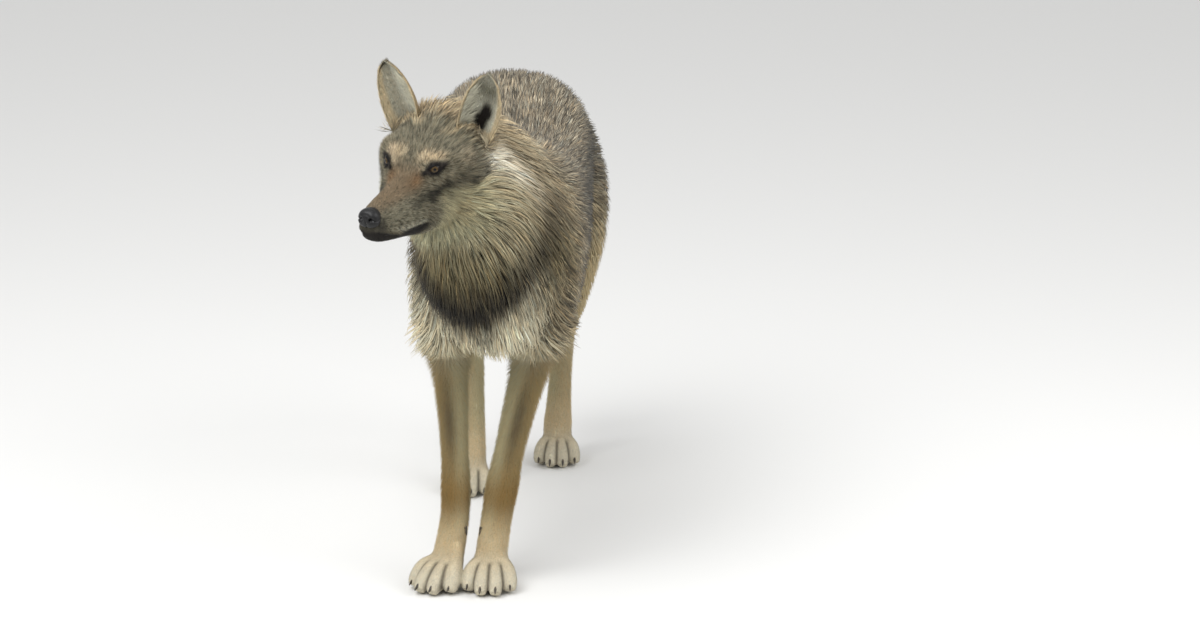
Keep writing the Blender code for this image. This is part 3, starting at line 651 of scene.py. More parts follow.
def find_ears(f):
    """How far each vertex belongs to an ear and to its inside, and where on the ear it is."""
    f.is_ear, f.in_ear, f.ear_u, f.ear_v, f.ear_side = np.zeros((5, len(f.points)))
    f.ear_way = np.zeros(f.points.shape)
    for name, side in SIDE_OF.items():
        place = ear_frame(name)
        local = unplaced(f.points, place)
        u = np.clip(local[:, 2] / EAR_LENGTH, 0.0, 1.0)
        width, bend, cup = ear_form(name, u, 0.985)
        v = (local[:, 0] - bend) / width
        behind = cup * (1 - np.clip(v, -1.2, 1.2) ** 2) + EAR_LEAN * u**2
        near = np.where(local[:, 2] > 0.05, 0.030, 0.0065)
        close = (np.abs(local[:, 1] - behind - 0.002) < near) & (np.abs(local[:, 0]) < 0.048)
        member = (close & (local[:, 2] < EAR_LENGTH + 0.01)) * ease(local[:, 2], 0.006, 0.020)
        inside = member * ease((f.normals @ place[:3, :3])[:, 1], 0.25, -0.25)
        own = member > f.is_ear
        f.ear_u[own], f.ear_v[own], f.ear_side[own] = u[own], v[own] * side, side
        f.is_ear, f.in_ear = np.maximum(f.is_ear, member), np.maximum(f.in_ear, inside)
        f.ear_way[own] = (place[:3, 2] + 0.45 * v[:, None] * place[:3, 0])[own]


def find_toe_gaps(f):
    """How deep in a gap between two toes each vertex lies."""
    f.toe_gap = np.zeros(len(f.place))
    tips, roots, _ = np.array(TOES).T
    for index, (middle, toe_out, scale) in enumerate(PAWS.values()):
        own = (f.leg == index) & (f.place[:, 2] < 0.06)
        turn = math.radians(toe_out)
        over = (f.place[own, :2] - middle) / scale
        aside = over[:, 0] * math.cos(turn) + over[:, 1] * math.sin(turn)
        ahead = over[:, 0] * math.sin(turn) - over[:, 1] * math.cos(turn)
        reach = np.clip((ahead + 0.010) / 0.055, 0, 1.1)[:, None]
        lines = roots * (1 - reach) + 1.06 * tips * reach
        apart = np.abs(aside[:, None] - (lines[:, 1:] + lines[:, :-1]) / 2).min(axis=1)
        f.toe_gap[own] = bump(apart, 0, 0.0021) * ease(ahead, 0.012, 0.026)


def comb_coat(f):
    """The way the coat lies: back and down over the trunk, down the limbs, away from eyes and nose over the
    head, and up the ears. It is evened out over the skin."""
    p, head = f.place, f.head
    down = np.array((0.0, 0.0, -1.0))
    flank = 1 - np.abs(f.normals[:, 2:3])
    way = -f.trunk_way + (0.50 * flank + 0.35 * ease(-p[:, 1], 0.26, 0.40)[:, None]) * down
    thigh = ease(p[:, 2], 0.62, 0.46) * (p[:, 1] > 0.05)
    way = way + 0.7 * thigh[:, None] * down
    toes = np.zeros(p.shape)
    for index, (_, toe_out, _) in enumerate(PAWS.values()):
        turn = math.radians(toe_out)
        toes[f.leg == index] = (math.sin(turn), -math.cos(turn), -0.55)
    side = np.sign(head[:, 0:1])
    low = ease(head[:, 2:3], 0.03, -0.03)
    over_head = np.concatenate([0.25 * side * (1 - low), np.ones_like(side), 0.12 - 0.65 * low], axis=1)
    for sign in SIDE_OF.values():
        away = head - eye_middle(sign)
        over_head += 2.2 * unit(away) * np.exp(-(away**2).sum(axis=1) / (2 * 0.017**2))[:, None]
    over_head += 1.5 * unit(head - np.array((0, 0.006, 0))) * ease(head[:, 1:2], 0.040, 0.008)
    way = layered(
        way, (f.leg_way + np.array((0, 0.10, 0)), f.is_leg), (toes, f.is_paw), (f.tail_way, f.is_tail),
        (over_head @ HEAD_PLACE[:3, :3].T, f.is_head), (f.ear_way, f.is_ear))

    def along_skin(vectors):
        return unit(vectors - f.normals * (vectors * f.normals).sum(axis=1)[:, None])

    way = along_skin(way)
    a, b = f.edges.T
    count = np.bincount(a, minlength=len(p)) + np.bincount(b, minlength=len(p))
    for _ in range(COMBINGS):
        total = np.stack([
            np.bincount(a, way[b, k], len(p)) + np.bincount(b, way[a, k], len(p)) for k in range(3)], axis=1)
        way = along_skin(way + 1.2 * total / np.maximum(count, 1)[:, None])
    f.way = way


def measure_coat(f):
    """How deep the coat is, how long and broad its locks are, and how many times they cover the skin."""
    y, height = f.place[:, 1], f.place[:, 2]
    back, up = f.head[:, 1], f.head[:, 2]

    def depth_in(rows, at):
        return np.interp(at, np.linspace(0, 1, len(rows)), rows[:, 6])

    leg_coat = np.zeros(len(y))
    for index, rows in enumerate(LEGS.values()):
        own = f.leg == index
        leg_coat[own] = depth_in(rows, f.leg_at[own])
    belly = ease(-f.normals[:, 2], 0.35, 0.8) * (y > -0.22)
    chest = ease(-f.normals[:, 2], 0.0, 0.6) * ease(height, 0.52, 0.46) * ease(y, -0.13, -0.20)
    on_head = f.near_head * ease(back, 0.280, 0.200)
    cheek = ease(up, 0.045, -0.02)
    f.coat = layered(
        depth_in(TRUNK, f.trunk_at) * (1 - 0.25 * belly) + 0.020 * chest,
        (leg_coat, f.is_leg), (0.0022, f.is_paw), (depth_in(TAIL, f.tail_at), f.is_tail),
        (between(head_value(back, 7), head_value(back, 8), cheek), on_head), (0.0016, f.is_ear),
        blend=between)

    # lengths: on the trunk by how far back, on the legs by how high, on the head by how far behind the nose
    length = np.interp(
        y, (-0.48, -0.36, -0.24, -0.12, 0.10, 0.35), (0.062, 0.072, 0.070, 0.056, 0.050, 0.052))
    hind_length = np.interp(height, (0.05, 0.16, 0.30, 0.40, 0.52), (0.010, 0.013, 0.018, 0.030, 0.046))
    fore_length = np.interp(height, (0.05, 0.16, 0.36, 0.42, 0.48), (0.010, 0.012, 0.015, 0.024, 0.040))
    on_leg = np.maximum(f.is_leg, f.is_fore * ease(height, 0.46, 0.39) * f.near_leg)
    cheek_length = cheek * np.interp(back, (0.13, 0.16, 0.19, 0.24), (0.0, 0.004, 0.018, 0.026))
    head_length = cheek_length + np.interp(
        back, (0.02, 0.08, 0.13, 0.18, 0.21, 0.24), (0.0040, 0.0052, 0.0065, 0.0095, 0.0170, 0.034))
    head_length = head_length * (1 - 0.55 * ease(f.lid, 4.5, 1.5))
    length = layered(
        length * (1 - 0.35 * belly), (0.074, chest), (np.where(f.is_fore, fore_length, hind_length), on_leg),
        (0.0085, f.is_paw), (0.060, f.is_tail), (head_length, on_head), blend=between)
    for side in SIDE_OF.values():
        apart = np.linalg.norm(f.head - np.array(EAR_ROOT) * (side, 1.0, 1.0), axis=1)
        length = between(length, np.minimum(length, 0.020), ease(apart, 0.066, 0.040))
    f.length = between(length, 0.0085 + 0.004 * ease(np.abs(f.ear_v), 0.8, 0.95), f.is_ear)

    # half a lock's breadth, and how many times the locks cover the skin
    breadth = 0.00030 + 0.0090 * f.length + 0.00018 * f.is_leg * (1 - f.is_paw)
    f.breadth = breadth * (1 - 0.25 * f.is_head)
    cover = (4.2 + 2.0 * ease(y, -0.08, -0.24)) * (1 - 0.55 * belly)
    cover = between(cover, 2.6 + 1.0 * ease(height, 0.20, 0.40), f.is_leg) * (1 - 0.15 * f.is_paw)
    f.cover = layered(cover, (4.4, f.is_head), (4.0, f.is_ear), blend=between)


# ---- Markings ----------------------------------------------------------------------------------------------
def trunk_markings(f):
    """A grizzled back, dark grey flanks that painted shade darkens near to black where the body turns down
    from its top, a pale belly, a tan and grey neck, a pale fringe before the withers, a cream throat, and a
    dark collar low on the chest with cream under it. Returns the colour, how grizzled it is, and how dark the
    hairs' tips are."""
    x, y, z = f.place.T
    rise = f.normals[:, 2]
    waves = np.sin(61 * y + 23 * x + 5 * np.sin(37 * x - 29 * z)) * np.sin(47 * x + 31 * z - 17 * y)
    streaks = 0.5 + 0.5 * waves
    flank = ease(rise, 0.62, 0.10) * ease(y, -0.26, -0.12)
    belly = ease(rise, -0.45, -0.90)
    rump = ease(y, 0.25, 0.42) * ease(rise, 0.6, -0.1)
    thigh = ease(z, 0.60, 0.46) * (y > 0.05) * ease(rise, -0.5, 0.1)
    neck = ease(y, -0.20, -0.30)
    shade = 0.5 + 0.5 * np.sin(43 * z + 29 * x) * np.sin(53 * y - 31 * z + 3 * np.sin(41 * x))
    low = ease(z, 0.70, 0.60) * neck * (0.35 + 0.65 * ease(y, -0.33, -0.39))
    nape = ease(z, 0.76, 0.82) * ease(y, -0.36, -0.42)
    shoulder = bump(y, -0.235, 0.034) * ease(z, 0.42, 0.58)
    fringe = bump(y, -0.285, 0.010) * ease(z, 0.66, 0.73)
    front = ease(f.normals[:, 1], 0.25, -0.35) * ease(y, -0.25, -0.33) * (1 - f.is_head)
    throat = front * ease(z, 0.575, 0.625) * ease(x, 0.065, 0.015)
    sag = 0.508 + 0.9 * (x + 0.01) ** 2 / 0.1
    collar = ease(y, -0.20, -0.28) * ease(z, sag - 0.044, sag - 0.028) * ease(z, sag + 0.046, sag + 0.016)
    under = ease(y, -0.17, -0.24) * ease(z, sag - 0.036, sag - 0.052) * ease(np.abs(x + 0.02), 0.125, 0.085)
    colour = layered(
        np.tile((0.30, 0.255, 0.180), (len(x), 1)),
        ((0.17, 0.150, 0.115), 0.55 * streaks * ease(y, -0.30, -0.22)),
        # painted shade: the flanks, where the body turns down from its top, go near to black over their dark
        # grey
        ((0.050, 0.047, 0.037), 0.88 * flank),
        ((0.40, 0.36, 0.26), belly * (y > -0.33)),
        ((0.32, 0.265, 0.180), 0.7 * rump),
        ((0.30, 0.245, 0.150), 0.8 * thigh),
        ((0.385, 0.315, 0.200), neck),
        ((0.20, 0.160, 0.098), 0.62 * neck * shade),
        ((0.115, 0.092, 0.046), 0.85 * low),
        ((0.36, 0.275, 0.160), nape),
        ((0.24, 0.205, 0.145), 0.55 * shoulder),
        ((0.42, 0.385, 0.30), 0.9 * fringe),
        ((0.42, 0.370, 0.235), 0.85 * throat * ease(z, 0.70, 0.62)),
        ((0.17, 0.140, 0.070), 0.7 * front * bump(z, 0.570, 0.024)),
        ((0.008, 0.007, 0.005), 0.97 * collar * ease(x, 0.118, 0.080)),
        ((0.66, 0.595, 0.42), 0.97 * under))
    pale = np.maximum(under, throat)
    return colour, 1 - 0.6 * pale, 0.95 * (1 - 0.8 * belly) * (1 - 0.45 * neck) * (1 - 0.85 * pale)


def leg_markings(f):
    """Tan outside and pale inside, a dark line down the forearm, ochre wrists, and pale feet with painted
    shade in the gaps between the toes."""
    x, _, z = f.place.T
    ahead = f.normals[:, 1]
    away = (x - f.leg_mid[:, 0] - MIDDLE[0]) * np.where(f.leg % 2 == 0, 1.0, -1.0)
    line = f.is_fore * bump(away, 0.003, 0.007) * ease(ahead, -0.2, -0.7) * bump(z, 0.27, 0.05)
    top = f.is_fore * ease(z, 0.365, 0.41) * ease(ahead, 0.3, -0.3)
    wrist = f.is_fore * bump(z, 0.148, 0.028) * ease(ahead, 0.2, -0.4)
    return layered(
        np.where(f.is_fore[:, None], (0.315, 0.232, 0.105), (0.43, 0.345, 0.195)),
        ((0.45, 0.40, 0.235), 0.75 * ease(away, 0.006, -0.012)),
        ((0.080, 0.065, 0.042), 0.72 * line),
        ((0.64, 0.575, 0.40), 0.9 * top),
        ((0.235, 0.138, 0.040), 0.75 * wrist),
        ((0.60, 0.475, 0.285), ease(z, 0.140, 0.060)),
        ((0.64, 0.590, 0.455), 0.9 * ease(z, 0.070, 0.022)),
        # painted shade in the gaps between the toes
        ((0.075, 0.060, 0.042), 0.9 * f.toe_gap))


def tail_markings(f):
    """Grizzled above, tan below, black at the tip, with a dark patch above near the root."""
    above = f.normals[:, 1]
    return layered(
        np.tile((0.30, 0.26, 0.18), (len(above), 1)),
        ((0.16, 0.145, 0.11), ease(above, -0.1, 0.6)),
        ((0.020, 0.018, 0.015), ease(f.tail_at, 0.80, 0.95)),
        ((0.05, 0.045, 0.035), 0.8 * bump(f.tail_at, 0.34, 0.05) * ease(above, 0.2, 0.8)))


def tear_lines(f):
    """Thin dark lines that run on from both corners of each eye."""
    tear = np.zeros(len(f.head))
    for sign in SIDE_OF.values():
        facing, along, across = eye_axes(sign)
        offset = f.head - eye_middle(sign)
        a, b = offset @ along, offset @ across
        near = offset @ facing > -0.01
        inner = ease(a, -0.024, -0.010) * ease(a, 0.0, -0.006) * bump(b, -0.0016 - 0.20 * (a + 0.010), 0.0022)
        outer = ease(a, 0.024, 0.012) * ease(a, 0.0, 0.008) * bump(b, 0.0012, 0.0016)
        tear = np.maximum.reduce([tear, near * inner, near * outer])
    return tear


def face_markings(f):
    """A grizzled forehead, a rusty bridge, pale brows, cream cheeks, whisker beds and a black mouth."""
    side, back, up = np.abs(f.head[:, 0]), f.head[:, 1], f.head[:, 2]
    spots = np.stack([side, back, up], 1)
    lip_over = up - lip_height(back)
    right = f.place[:, 0] < -0.07
    bridge = ease(side, 0.034, 0.016) * ease(back, 0.150, 0.115) * ease(up, 0.0, 0.02)
    upper_lip = ease(lip_over, 0.014, 0.004) * ease(back, 0.125, 0.10) * ease(back, 0.03, 0.06)
    beds = np.sin(back * 2 * math.pi / 0.0125 + up * 90) * np.sin(lip_over * 2 * math.pi / 0.0120)
    beds = ease(beds, 0.25, 0.75) * ease(back, 0.030, 0.045) * ease(back, 0.105, 0.085)
    cheek = ease(back, 0.136, 0.158) * ease(up, 0.014, -0.002)
    corner = bump(back, 0.111, 0.0075) * ease(lip_over, 0.005, 0.001) * ease(lip_over, -0.018, -0.010)
    lower_lip = ease(lip_over, 0.002, -0.001) * ease(lip_over, -0.024, -0.015) * ease(back, 0.124, 0.112)
    face = layered(
        np.tile((0.150, 0.135, 0.092), (len(side), 1)),
        # the forehead, the crown and the bridge of the muzzle
        ((0.27, 0.225, 0.150), 0.75 * spot(spots, (0.073, 0.194, 0.051), (0.010, 0.014, 0.012))),
        ((0.29, 0.215, 0.125), 0.9 * (ease(back, 0.218, 0.256) * ease(up, 0.045, 0.08))),
        ((0.165, 0.122, 0.074), bridge),
        ((0.10, 0.080, 0.055), 0.6 * (ease(back, 0.040, 0.015) * ease(up, -0.005, 0.012))),
        # the muzzle's side, a rusty spot before the eye, the pale upper lip and the whisker beds
        ((0.172, 0.158, 0.108), 0.8 * (ease(back, 0.13, 0.10) * ease(up, 0.012, -0.006))),
        ((0.180, 0.100, 0.046), 0.75 * spot(spots, (0.022, 0.120, 0.027), (0.0065, 0.013, 0.008))),
        ((0.44, 0.42, 0.32), 0.80 * upper_lip),
        ((0.045, 0.040, 0.030), 0.80 * beds * ease(lip_over, 0.002, 0.005) * ease(lip_over, 0.030, 0.020)),
        # the brow, its outer end, the right eye's pale lid and a pale streak under the eye
        ((0.50, 0.395, 0.250), 0.90 * spot(spots, (0.023, 0.147, 0.059), (0.0080, 0.008, 0.007))),
        ((0.45, 0.35, 0.22), 0.80 * stroke(spots, ((0.034, 0.150, 0.058), (0.044, 0.162, 0.056)), 0.0050)),
        ((0.46, 0.37, 0.25), 0.75 * right * stroke(
            spots, ((0.040, 0.156, 0.056), (0.026, 0.138, 0.040)), 0.0055)),
        ((0.27, 0.235, 0.16), 0.60 * stroke(
            spots, ((0.040, 0.134, 0.019), (0.050, 0.148, 0.022), (0.060, 0.163, 0.030)), 0.0045)),
        # the cheek, with a tan spot and a grey band above it
        ((0.385, 0.350, 0.215), cheek),
        ((0.27, 0.215, 0.115), 0.55 * spot(spots, (0.062, 0.182, -0.028), (0.012, 0.012, 0.010))),
        ((0.12, 0.105, 0.070), 0.75 * stroke(
            spots, ((0.070, 0.175, 0.020), (0.082, 0.205, 0.012), (0.088, 0.235, 0.010)), 0.009)),
        # the dark line from the eye towards the mouth, its speckles, and a dark spot behind it
        ((0.012, 0.011, 0.008), 0.97 * stroke(
            spots, ((0.057, 0.158, 0.015), (0.049, 0.147, 0.010), (0.043, 0.137, 0.006), (0.041, 0.131, 0.0)),
            0.0058)),
        ((0.030, 0.028, 0.020), 0.80 * stroke(
            spots, ((0.041, 0.131, 0.003), (0.035, 0.118, 0.002), (0.031, 0.096, -0.005)), 0.0045)),
        ((0.05, 0.045, 0.03), 0.85 * spot(spots, (0.055, 0.161, -0.005), (0.005, 0.005, 0.005))),
        # below the nose, the mouth's corner, the lower lip, the lips' edges, and the throat below them
        ((0.030, 0.027, 0.021), 0.85 * (ease(back, 0.034, 0.018) * ease(up, 0.006, -0.006))),
        ((0.018, 0.015, 0.011), 0.9 * corner),
        ((0.014, 0.012, 0.009), 0.96 * lower_lip),
        ((0.014, 0.012, 0.010), ease(np.abs(lip_over + 0.002), 0.0085, 0.0045) * ease(back, 0.130, 0.116)),
        ((0.38, 0.36, 0.23), 0.9 * (ease(lip_over, -0.020, -0.028) * ease(back, 0.02, 0.06))),
        # the fold at the ear's root, the rims of the eyes and the lines at their corners
        ((0.07, 0.040, 0.018), 0.9 * spot(spots, (0.037, 0.222, 0.100), (0.007, 0.008, 0.006))),
        ((0.010, 0.008, 0.007), ease(f.lid, 2.7, 1.7)),
        ((0.022, 0.018, 0.014), 0.9 * tear_lines(f)))
    return face, 1.9 * (1 - 0.6 * bridge) * (1 - 0.7 * cheek), 0.35 * (1 - 0.9 * cheek)


def ear_markings(f):
    """Ochre outside with a dark tip, and pale inside round painted shade in its hollow, with tan edges."""
    u, v, left = f.ear_u, f.ear_v, f.ear_side > 0
    places = np.stack([u, v], 1)
    plain = np.ones((len(u), 1))
    # where painted shade darkens the ear's hollow towards its root, weaker on the right ear
    hollow = np.maximum.reduce([
        spot(places, (0.42, 0.24), (0.095, 0.19)), spot(places, (0.26, 0.04), (0.11, 0.24)),
        spot(places, (0.10, -0.20), (0.10, 0.34))])
    hollow = np.where(f.ear_side < 0, 0.45 * spot(places, (0.10, -0.45), (0.12, 0.30)), hollow)
    outside = mix(plain * (0.36, 0.270, 0.150), (0.12, 0.10, 0.07), 0.6 * ease(u, 0.7, 1.0))
    inside = layered(
        plain * (0.64, 0.62, 0.49),
        ((0.105, 0.098, 0.064), 0.85 * left * bump(u, 0.74, 0.12) * ease(np.abs(v), 0.9, 0.55)),
        ((0.68, 0.66, 0.53), 0.9 * spot(places, (0.42, -0.50), (0.15, 0.20))),
        ((0.30, 0.275, 0.20), 0.8 * (f.ear_side < 0) * ease(v, -0.10, 0.30)),
        # painted shade: near black in the ear's hollow
        ((0.010, 0.007, 0.005), np.minimum(1, 2.0 * hollow)),
        ((0.56, 0.455, 0.285), ease(np.abs(v), 0.66, 0.82)))
    return mix(outside, inside, f.in_ear)


def markings(f):
    """The pelt's colour at each vertex, how grizzled it is, and how dark the tips of its hairs are."""
    side, back, up = np.abs(f.head[:, 0]), f.head[:, 1], f.head[:, 2]
    colour, grizzle, tips = trunk_markings(f)
    face, face_grizzle, face_tips = face_markings(f)
    # a white tuft behind the cheek, on the pale ruff
    tuft_line = (0.074, 0.256, 0.026), (0.084, 0.268, 0.008), (0.094, 0.280, -0.014)
    tuft = stroke(np.stack([side, back, up], 1), tuft_line, 0.0135)
    ruff = ease(back, 0.215, 0.235) * ease(back, 0.300, 0.262)
    ruff = ruff * ease(up, 0.012, -0.01) * ease(up, -0.13, -0.10)
    colour = layered(
        colour, (leg_markings(f), f.is_leg), (tail_markings(f), f.is_tail), (face, f.is_head),
        ((0.92, 0.84, 0.66), 0.97 * tuft), ((0.42, 0.365, 0.235), 0.75 * ruff * ease(side, 0.135, 0.105)),
        (ear_markings(f), f.is_ear))
    grizzle = between(grizzle * (1 - 0.86 * f.is_leg), face_grizzle, f.is_head)
    grizzle = between(grizzle * (1 - 0.8 * np.maximum(tuft, ruff)), 0.35, f.is_ear)
    tips = between(tips * (1 - 0.8 * f.is_leg), face_tips, f.is_head) * (1 - 0.8 * f.is_ear)
    return colour, grizzle, tips


# ---- Materials ---------------------------------------------------------------------------------------------
class Nodes:
    """A node tree that is filled by short calls: add a node, set its sockets, link what feeds them."""

    def __init__(self, tree):
        self.tree = tree

    def fill(self, sockets, values):
        """Links each socket to what feeds it, or sets its constant."""
        for key, value in values.items():
            if isinstance(value, bpy.types.NodeSocket):
                self.tree.links.new(value, sockets[key])
            else:
                sockets[key].default_value = value

    def add(self, kind, inputs=None, **settings):
        node = self.tree.nodes.new(kind)
        for key, value in settings.items():
            setattr(node, key, value)
        self.fill(node.inputs, inputs or {})
        return node

    def group(self, name, inputs):
        return self.add("ShaderNodeGroup", inputs, node_tree=GROUPS[name]).outputs

    def place(self):
        return self.add("ShaderNodeTexCoord").outputs["Object"]

    def noise(self, place, scale, detail):
        return self.add("ShaderNodeTexNoise", {"Vector": place, "Scale": scale, "Detail": detail}).outputs[0]

    def relief(self, height, strength, distance):
        inputs = {"Height": height, "Strength": strength, "Distance": distance}
        return self.add("ShaderNodeBump", inputs).outputs[0]

    def brightness(self, colour, value):
        return self.add("ShaderNodeHueSaturation", {"Value": value, "Color": colour}).outputs[0]

    def math(self, operation, first, second):
        return self.add("ShaderNodeMath", {0: first, 1: second}, operation=operation).outputs[0]

    def blend(self, share, first, second, kind="MIX"):
        inputs = {0: share, 6: first, 7: second}
        return self.add("ShaderNodeMix", inputs, data_type="RGBA", blend_type=kind).outputs[2]

    def range(self, value, low, high, to_low=0.0, to_high=1.0):
        inputs = {0: value, 1: low, 2: high, 3: to_low, 4: to_high}
        return self.add("ShaderNodeMapRange", inputs, interpolation_type="SMOOTHSTEP").outputs[0]


COLOUR, NUMBER, ARROW = "NodeSocketColor", "NodeSocketFloat", "NodeSocketVector"


def effect(name, inputs, outputs):
    """Makes an empty shader group with named sockets. Returns the calls that fill it, what it is given and
    what it gives out."""
    tree = bpy.data.node_groups.new(name, "ShaderNodeTree")
    for label, kind, value in inputs:
        socket = tree.interface.new_socket(label, in_out="INPUT", socket_type=kind)
        if value is not None:
            socket.default_value = value
    for label, kind in outputs:
        tree.interface.new_socket(label, in_out="OUTPUT", socket_type=kind)
    return Nodes(tree), tree.nodes.new("NodeGroupInput").outputs, tree.nodes.new("NodeGroupOutput").inputs


def hair_bands():
    """Shades a hair from root to tip: dull underfur with painted shade deep in the coat, its own colour, a
    paler band and a dark tip.
    """
    nodes, given, out = effect(
        "hair_bands",
        [("Pelt", COLOUR, (0.3, 0.25, 0.2, 1)), ("Along", NUMBER, 0.5), ("Tip", NUMBER, 0.5),
         ("Root Shade", NUMBER, 0.5), ("Band", NUMBER, 1.2)],
        [("Colour", COLOUR), ("Roughness", NUMBER)])
    # painted shade: towards its root, deep in the coat, a lock is darkened by Root Shade as well as dulled as
    # underfur
    root = nodes.range(given["Along"], 0.0, 0.42, 1.0, 0.0)
    shade = nodes.blend(1.0, given["Pelt"], (0.70, 0.68, 0.68, 1), "MULTIPLY")
    body = nodes.blend(nodes.math("MULTIPLY", root, given["Root Shade"]), given["Pelt"], shade)
    band_start, band_end = nodes.range(given["Along"], 0.35, 0.6), nodes.range(given["Along"], 0.95, 0.7)
    band = nodes.math("MULTIPLY", band_start, band_end)
    body = nodes.blend(band, body, nodes.brightness(body, given["Band"]))
    tip = nodes.math("MULTIPLY", nodes.range(given["Along"], 0.62, 0.90), given["Tip"])
    nodes.fill(out, {
        "Colour": nodes.blend(tip, body, (0.022, 0.019, 0.016, 1)),
        "Roughness": nodes.range(tip, 0.0, 1.0, 0.78, 0.55)})
    return nodes.tree


def short_fur():
    """Fine fur that lies flat: speckles of lighter and darker hair, and their relief."""
    nodes, given, out = effect(
        "short_fur",
        [("Pelt", COLOUR, (0.3, 0.25, 0.2, 1)), ("Place", ARROW, None), ("Scale", NUMBER, 500.0),
         ("Contrast", NUMBER, 0.5)],
        [("Colour", COLOUR), ("Height", NUMBER)])
    fine = nodes.noise(given["Place"], given["Scale"], 3.0)
    broad = nodes.noise(given["Place"], 60.0, 2.0)
    speckle = nodes.range(fine, 0.3, 0.7, 0.45, 1.35)
    patches = nodes.range(broad, 0.25, 0.75, 0.85, 1.12)
    varied = nodes.brightness(given["Pelt"], nodes.math("MULTIPLY", speckle, patches))
    nodes.fill(out, {"Colour": nodes.blend(given["Contrast"], given["Pelt"], varied), "Height": fine})
    return nodes.tree


def pebbled_skin():
    """Bare wet skin: small rounded pebbles parted by furrows."""
    nodes, given, out = effect(
        "pebbled_skin",
        [("Tint", COLOUR, (0.02, 0.02, 0.02, 1)), ("Place", ARROW, None), ("Scale", NUMBER, 900.0)],
        [("Colour", COLOUR), ("Roughness", NUMBER), ("Height", NUMBER)])
    cells = nodes.add(
        "ShaderNodeTexVoronoi", {"Vector": given["Place"], "Scale": given["Scale"]}, feature="SMOOTH_F1")
    wide = nodes.noise(given["Place"], 160.0, 3.0)
    paler = nodes.blend(1.0, given["Tint"], (0.010, 0.0098, 0.0096, 1), "ADD")
    furrow = nodes.range(cells.outputs["Distance"], 0.1, 0.7, 0.0, 0.55)
    nodes.fill(out, {
        "Colour": nodes.blend(nodes.math("MULTIPLY", furrow, wide), given["Tint"], paler),
        "Roughness": nodes.range(wide, 0.3, 0.7, 0.30, 0.52),
        "Height": nodes.math("SUBTRACT", 1.0, cells.outputs["Distance"])})
    return nodes.tree


GROUPS = {"hair_bands": hair_bands(), "short_fur": short_fur(), "pebbled_skin": pebbled_skin()}


def material(name):
    """Makes a material. Returns it, the calls that fill it, and its surface shader's sockets."""
    made = bpy.data.materials.new(name)
    made.use_nodes = True
    return made, Nodes(made.node_tree), made.node_tree.nodes["Principled BSDF"].inputs


def coat_material(name, root_shade, band, sheen):
    """Locks: the colours that they carry, shaded from root to tip."""
    made, nodes, surface = material(name)
    read = {label: nodes.add("ShaderNodeAttribute", attribute_name=label).outputs for label in
            ("Pelt", "Along", "Tip")}
    hair = nodes.group("hair_bands", {
        "Pelt": read["Pelt"]["Color"], "Along": read["Along"]["Fac"], "Tip": read["Tip"]["Fac"],
        "Root Shade": root_shade, "Band": band})
    nodes.fill(surface, {
        "Base Color": hair["Colour"], "Roughness": hair["Roughness"], "Specular IOR Level": 0.25,
        "Sheen Weight": sheen, "Sheen Roughness": 0.5})
    return made


def hide_material():
    """The skin between the locks: underfur in the pelt's colours, darkened with painted shade under the long
    coat.
    """
    made, nodes, surface = material("hide")
    pelt = nodes.add("ShaderNodeAttribute", attribute_name="Pelt").outputs["Color"]
    fur = nodes.group("short_fur", {"Pelt": pelt, "Place": nodes.place(), "Scale": 700.0, "Contrast": 0.6})
    nodes.fill(surface, {
        "Base Color": fur["Colour"], "Normal": nodes.relief(fur["Height"], 0.4, 0.0010),
        "Roughness": 0.85, "Specular IOR Level": 0.2})
    return made


def bare_skin_material(name, tint, scale, wet):
    """The nose and the lips: pebbled skin under a thin wet coat."""
    made, nodes, surface = material(name)
    skin = nodes.group("pebbled_skin", {"Tint": (*tint, 1), "Place": nodes.place(), "Scale": scale})
    nodes.fill(surface, {
        "Base Color": skin["Colour"], "Roughness": skin["Roughness"],
        "Normal": nodes.relief(skin["Height"], 0.45, 0.0006), "Coat Weight": wet, "Coat Roughness": 0.25,
        "Specular IOR Level": 0.10 + wet})
    return made


def horn_material():
    """Claws: dark horn with paler streaks."""
    made, nodes, surface = material("claw_horn")
    streaks = nodes.noise(nodes.place(), 260.0, 3.0)
    tone = nodes.blend(nodes.range(streaks, 0.35, 0.75), (0.020, 0.016, 0.012, 1), (0.10, 0.080, 0.055, 1))
    nodes.fill(surface, {"Base Color": tone, "Roughness": nodes.range(streaks, 0.3, 0.7, 0.32, 0.5)})
    return made


def eye_material():
    """An eyeball: black pupil, amber iris with fibres and a dark rim, darkened by painted shade as under the
    brow, and a brownish white, under a clear wet coat. The map Iris gives each point's direction and angle
    from the middle of the pupil, in radians."""
    made, nodes, surface = material("eyeball")
    around = nodes.add("ShaderNodeUVMap", uv_map="Iris").outputs[0]
    distance = nodes.add("ShaderNodeVectorMath", {0: around}, operation="LENGTH").outputs["Value"]
    ray = nodes.add("ShaderNodeVectorMath", {0: around}, operation="NORMALIZE").outputs[0]
    fibres = nodes.range(nodes.noise(ray, 9.0, 4.0), 0.35, 0.7)
    # painted shade: the amber iris is darkened as though the brow shades it
    colour = nodes.blend(fibres, (0.030, 0.018, 0.006, 1), (0.100, 0.064, 0.024, 1))
    for start, end, tint in (
            (0.32, 0.20, (0.060, 0.036, 0.011, 1)),        # the iris round the pupil
            (0.40, 0.54, (0.007, 0.005, 0.003, 1)),        # its rim
            (0.54, 0.58, (0.024, 0.018, 0.014, 1)),        # the white
            (0.205, 0.185, (0.0015, 0.0015, 0.0015, 1))):  # the pupil
        colour = nodes.blend(nodes.range(distance, start, end), colour, tint)
    nodes.fill(surface, {
        "Base Color": colour, "Roughness": 0.25, "Specular IOR Level": 0.15, "Coat Weight": 0.22,
        "Coat Roughness": 0.03})
    return made


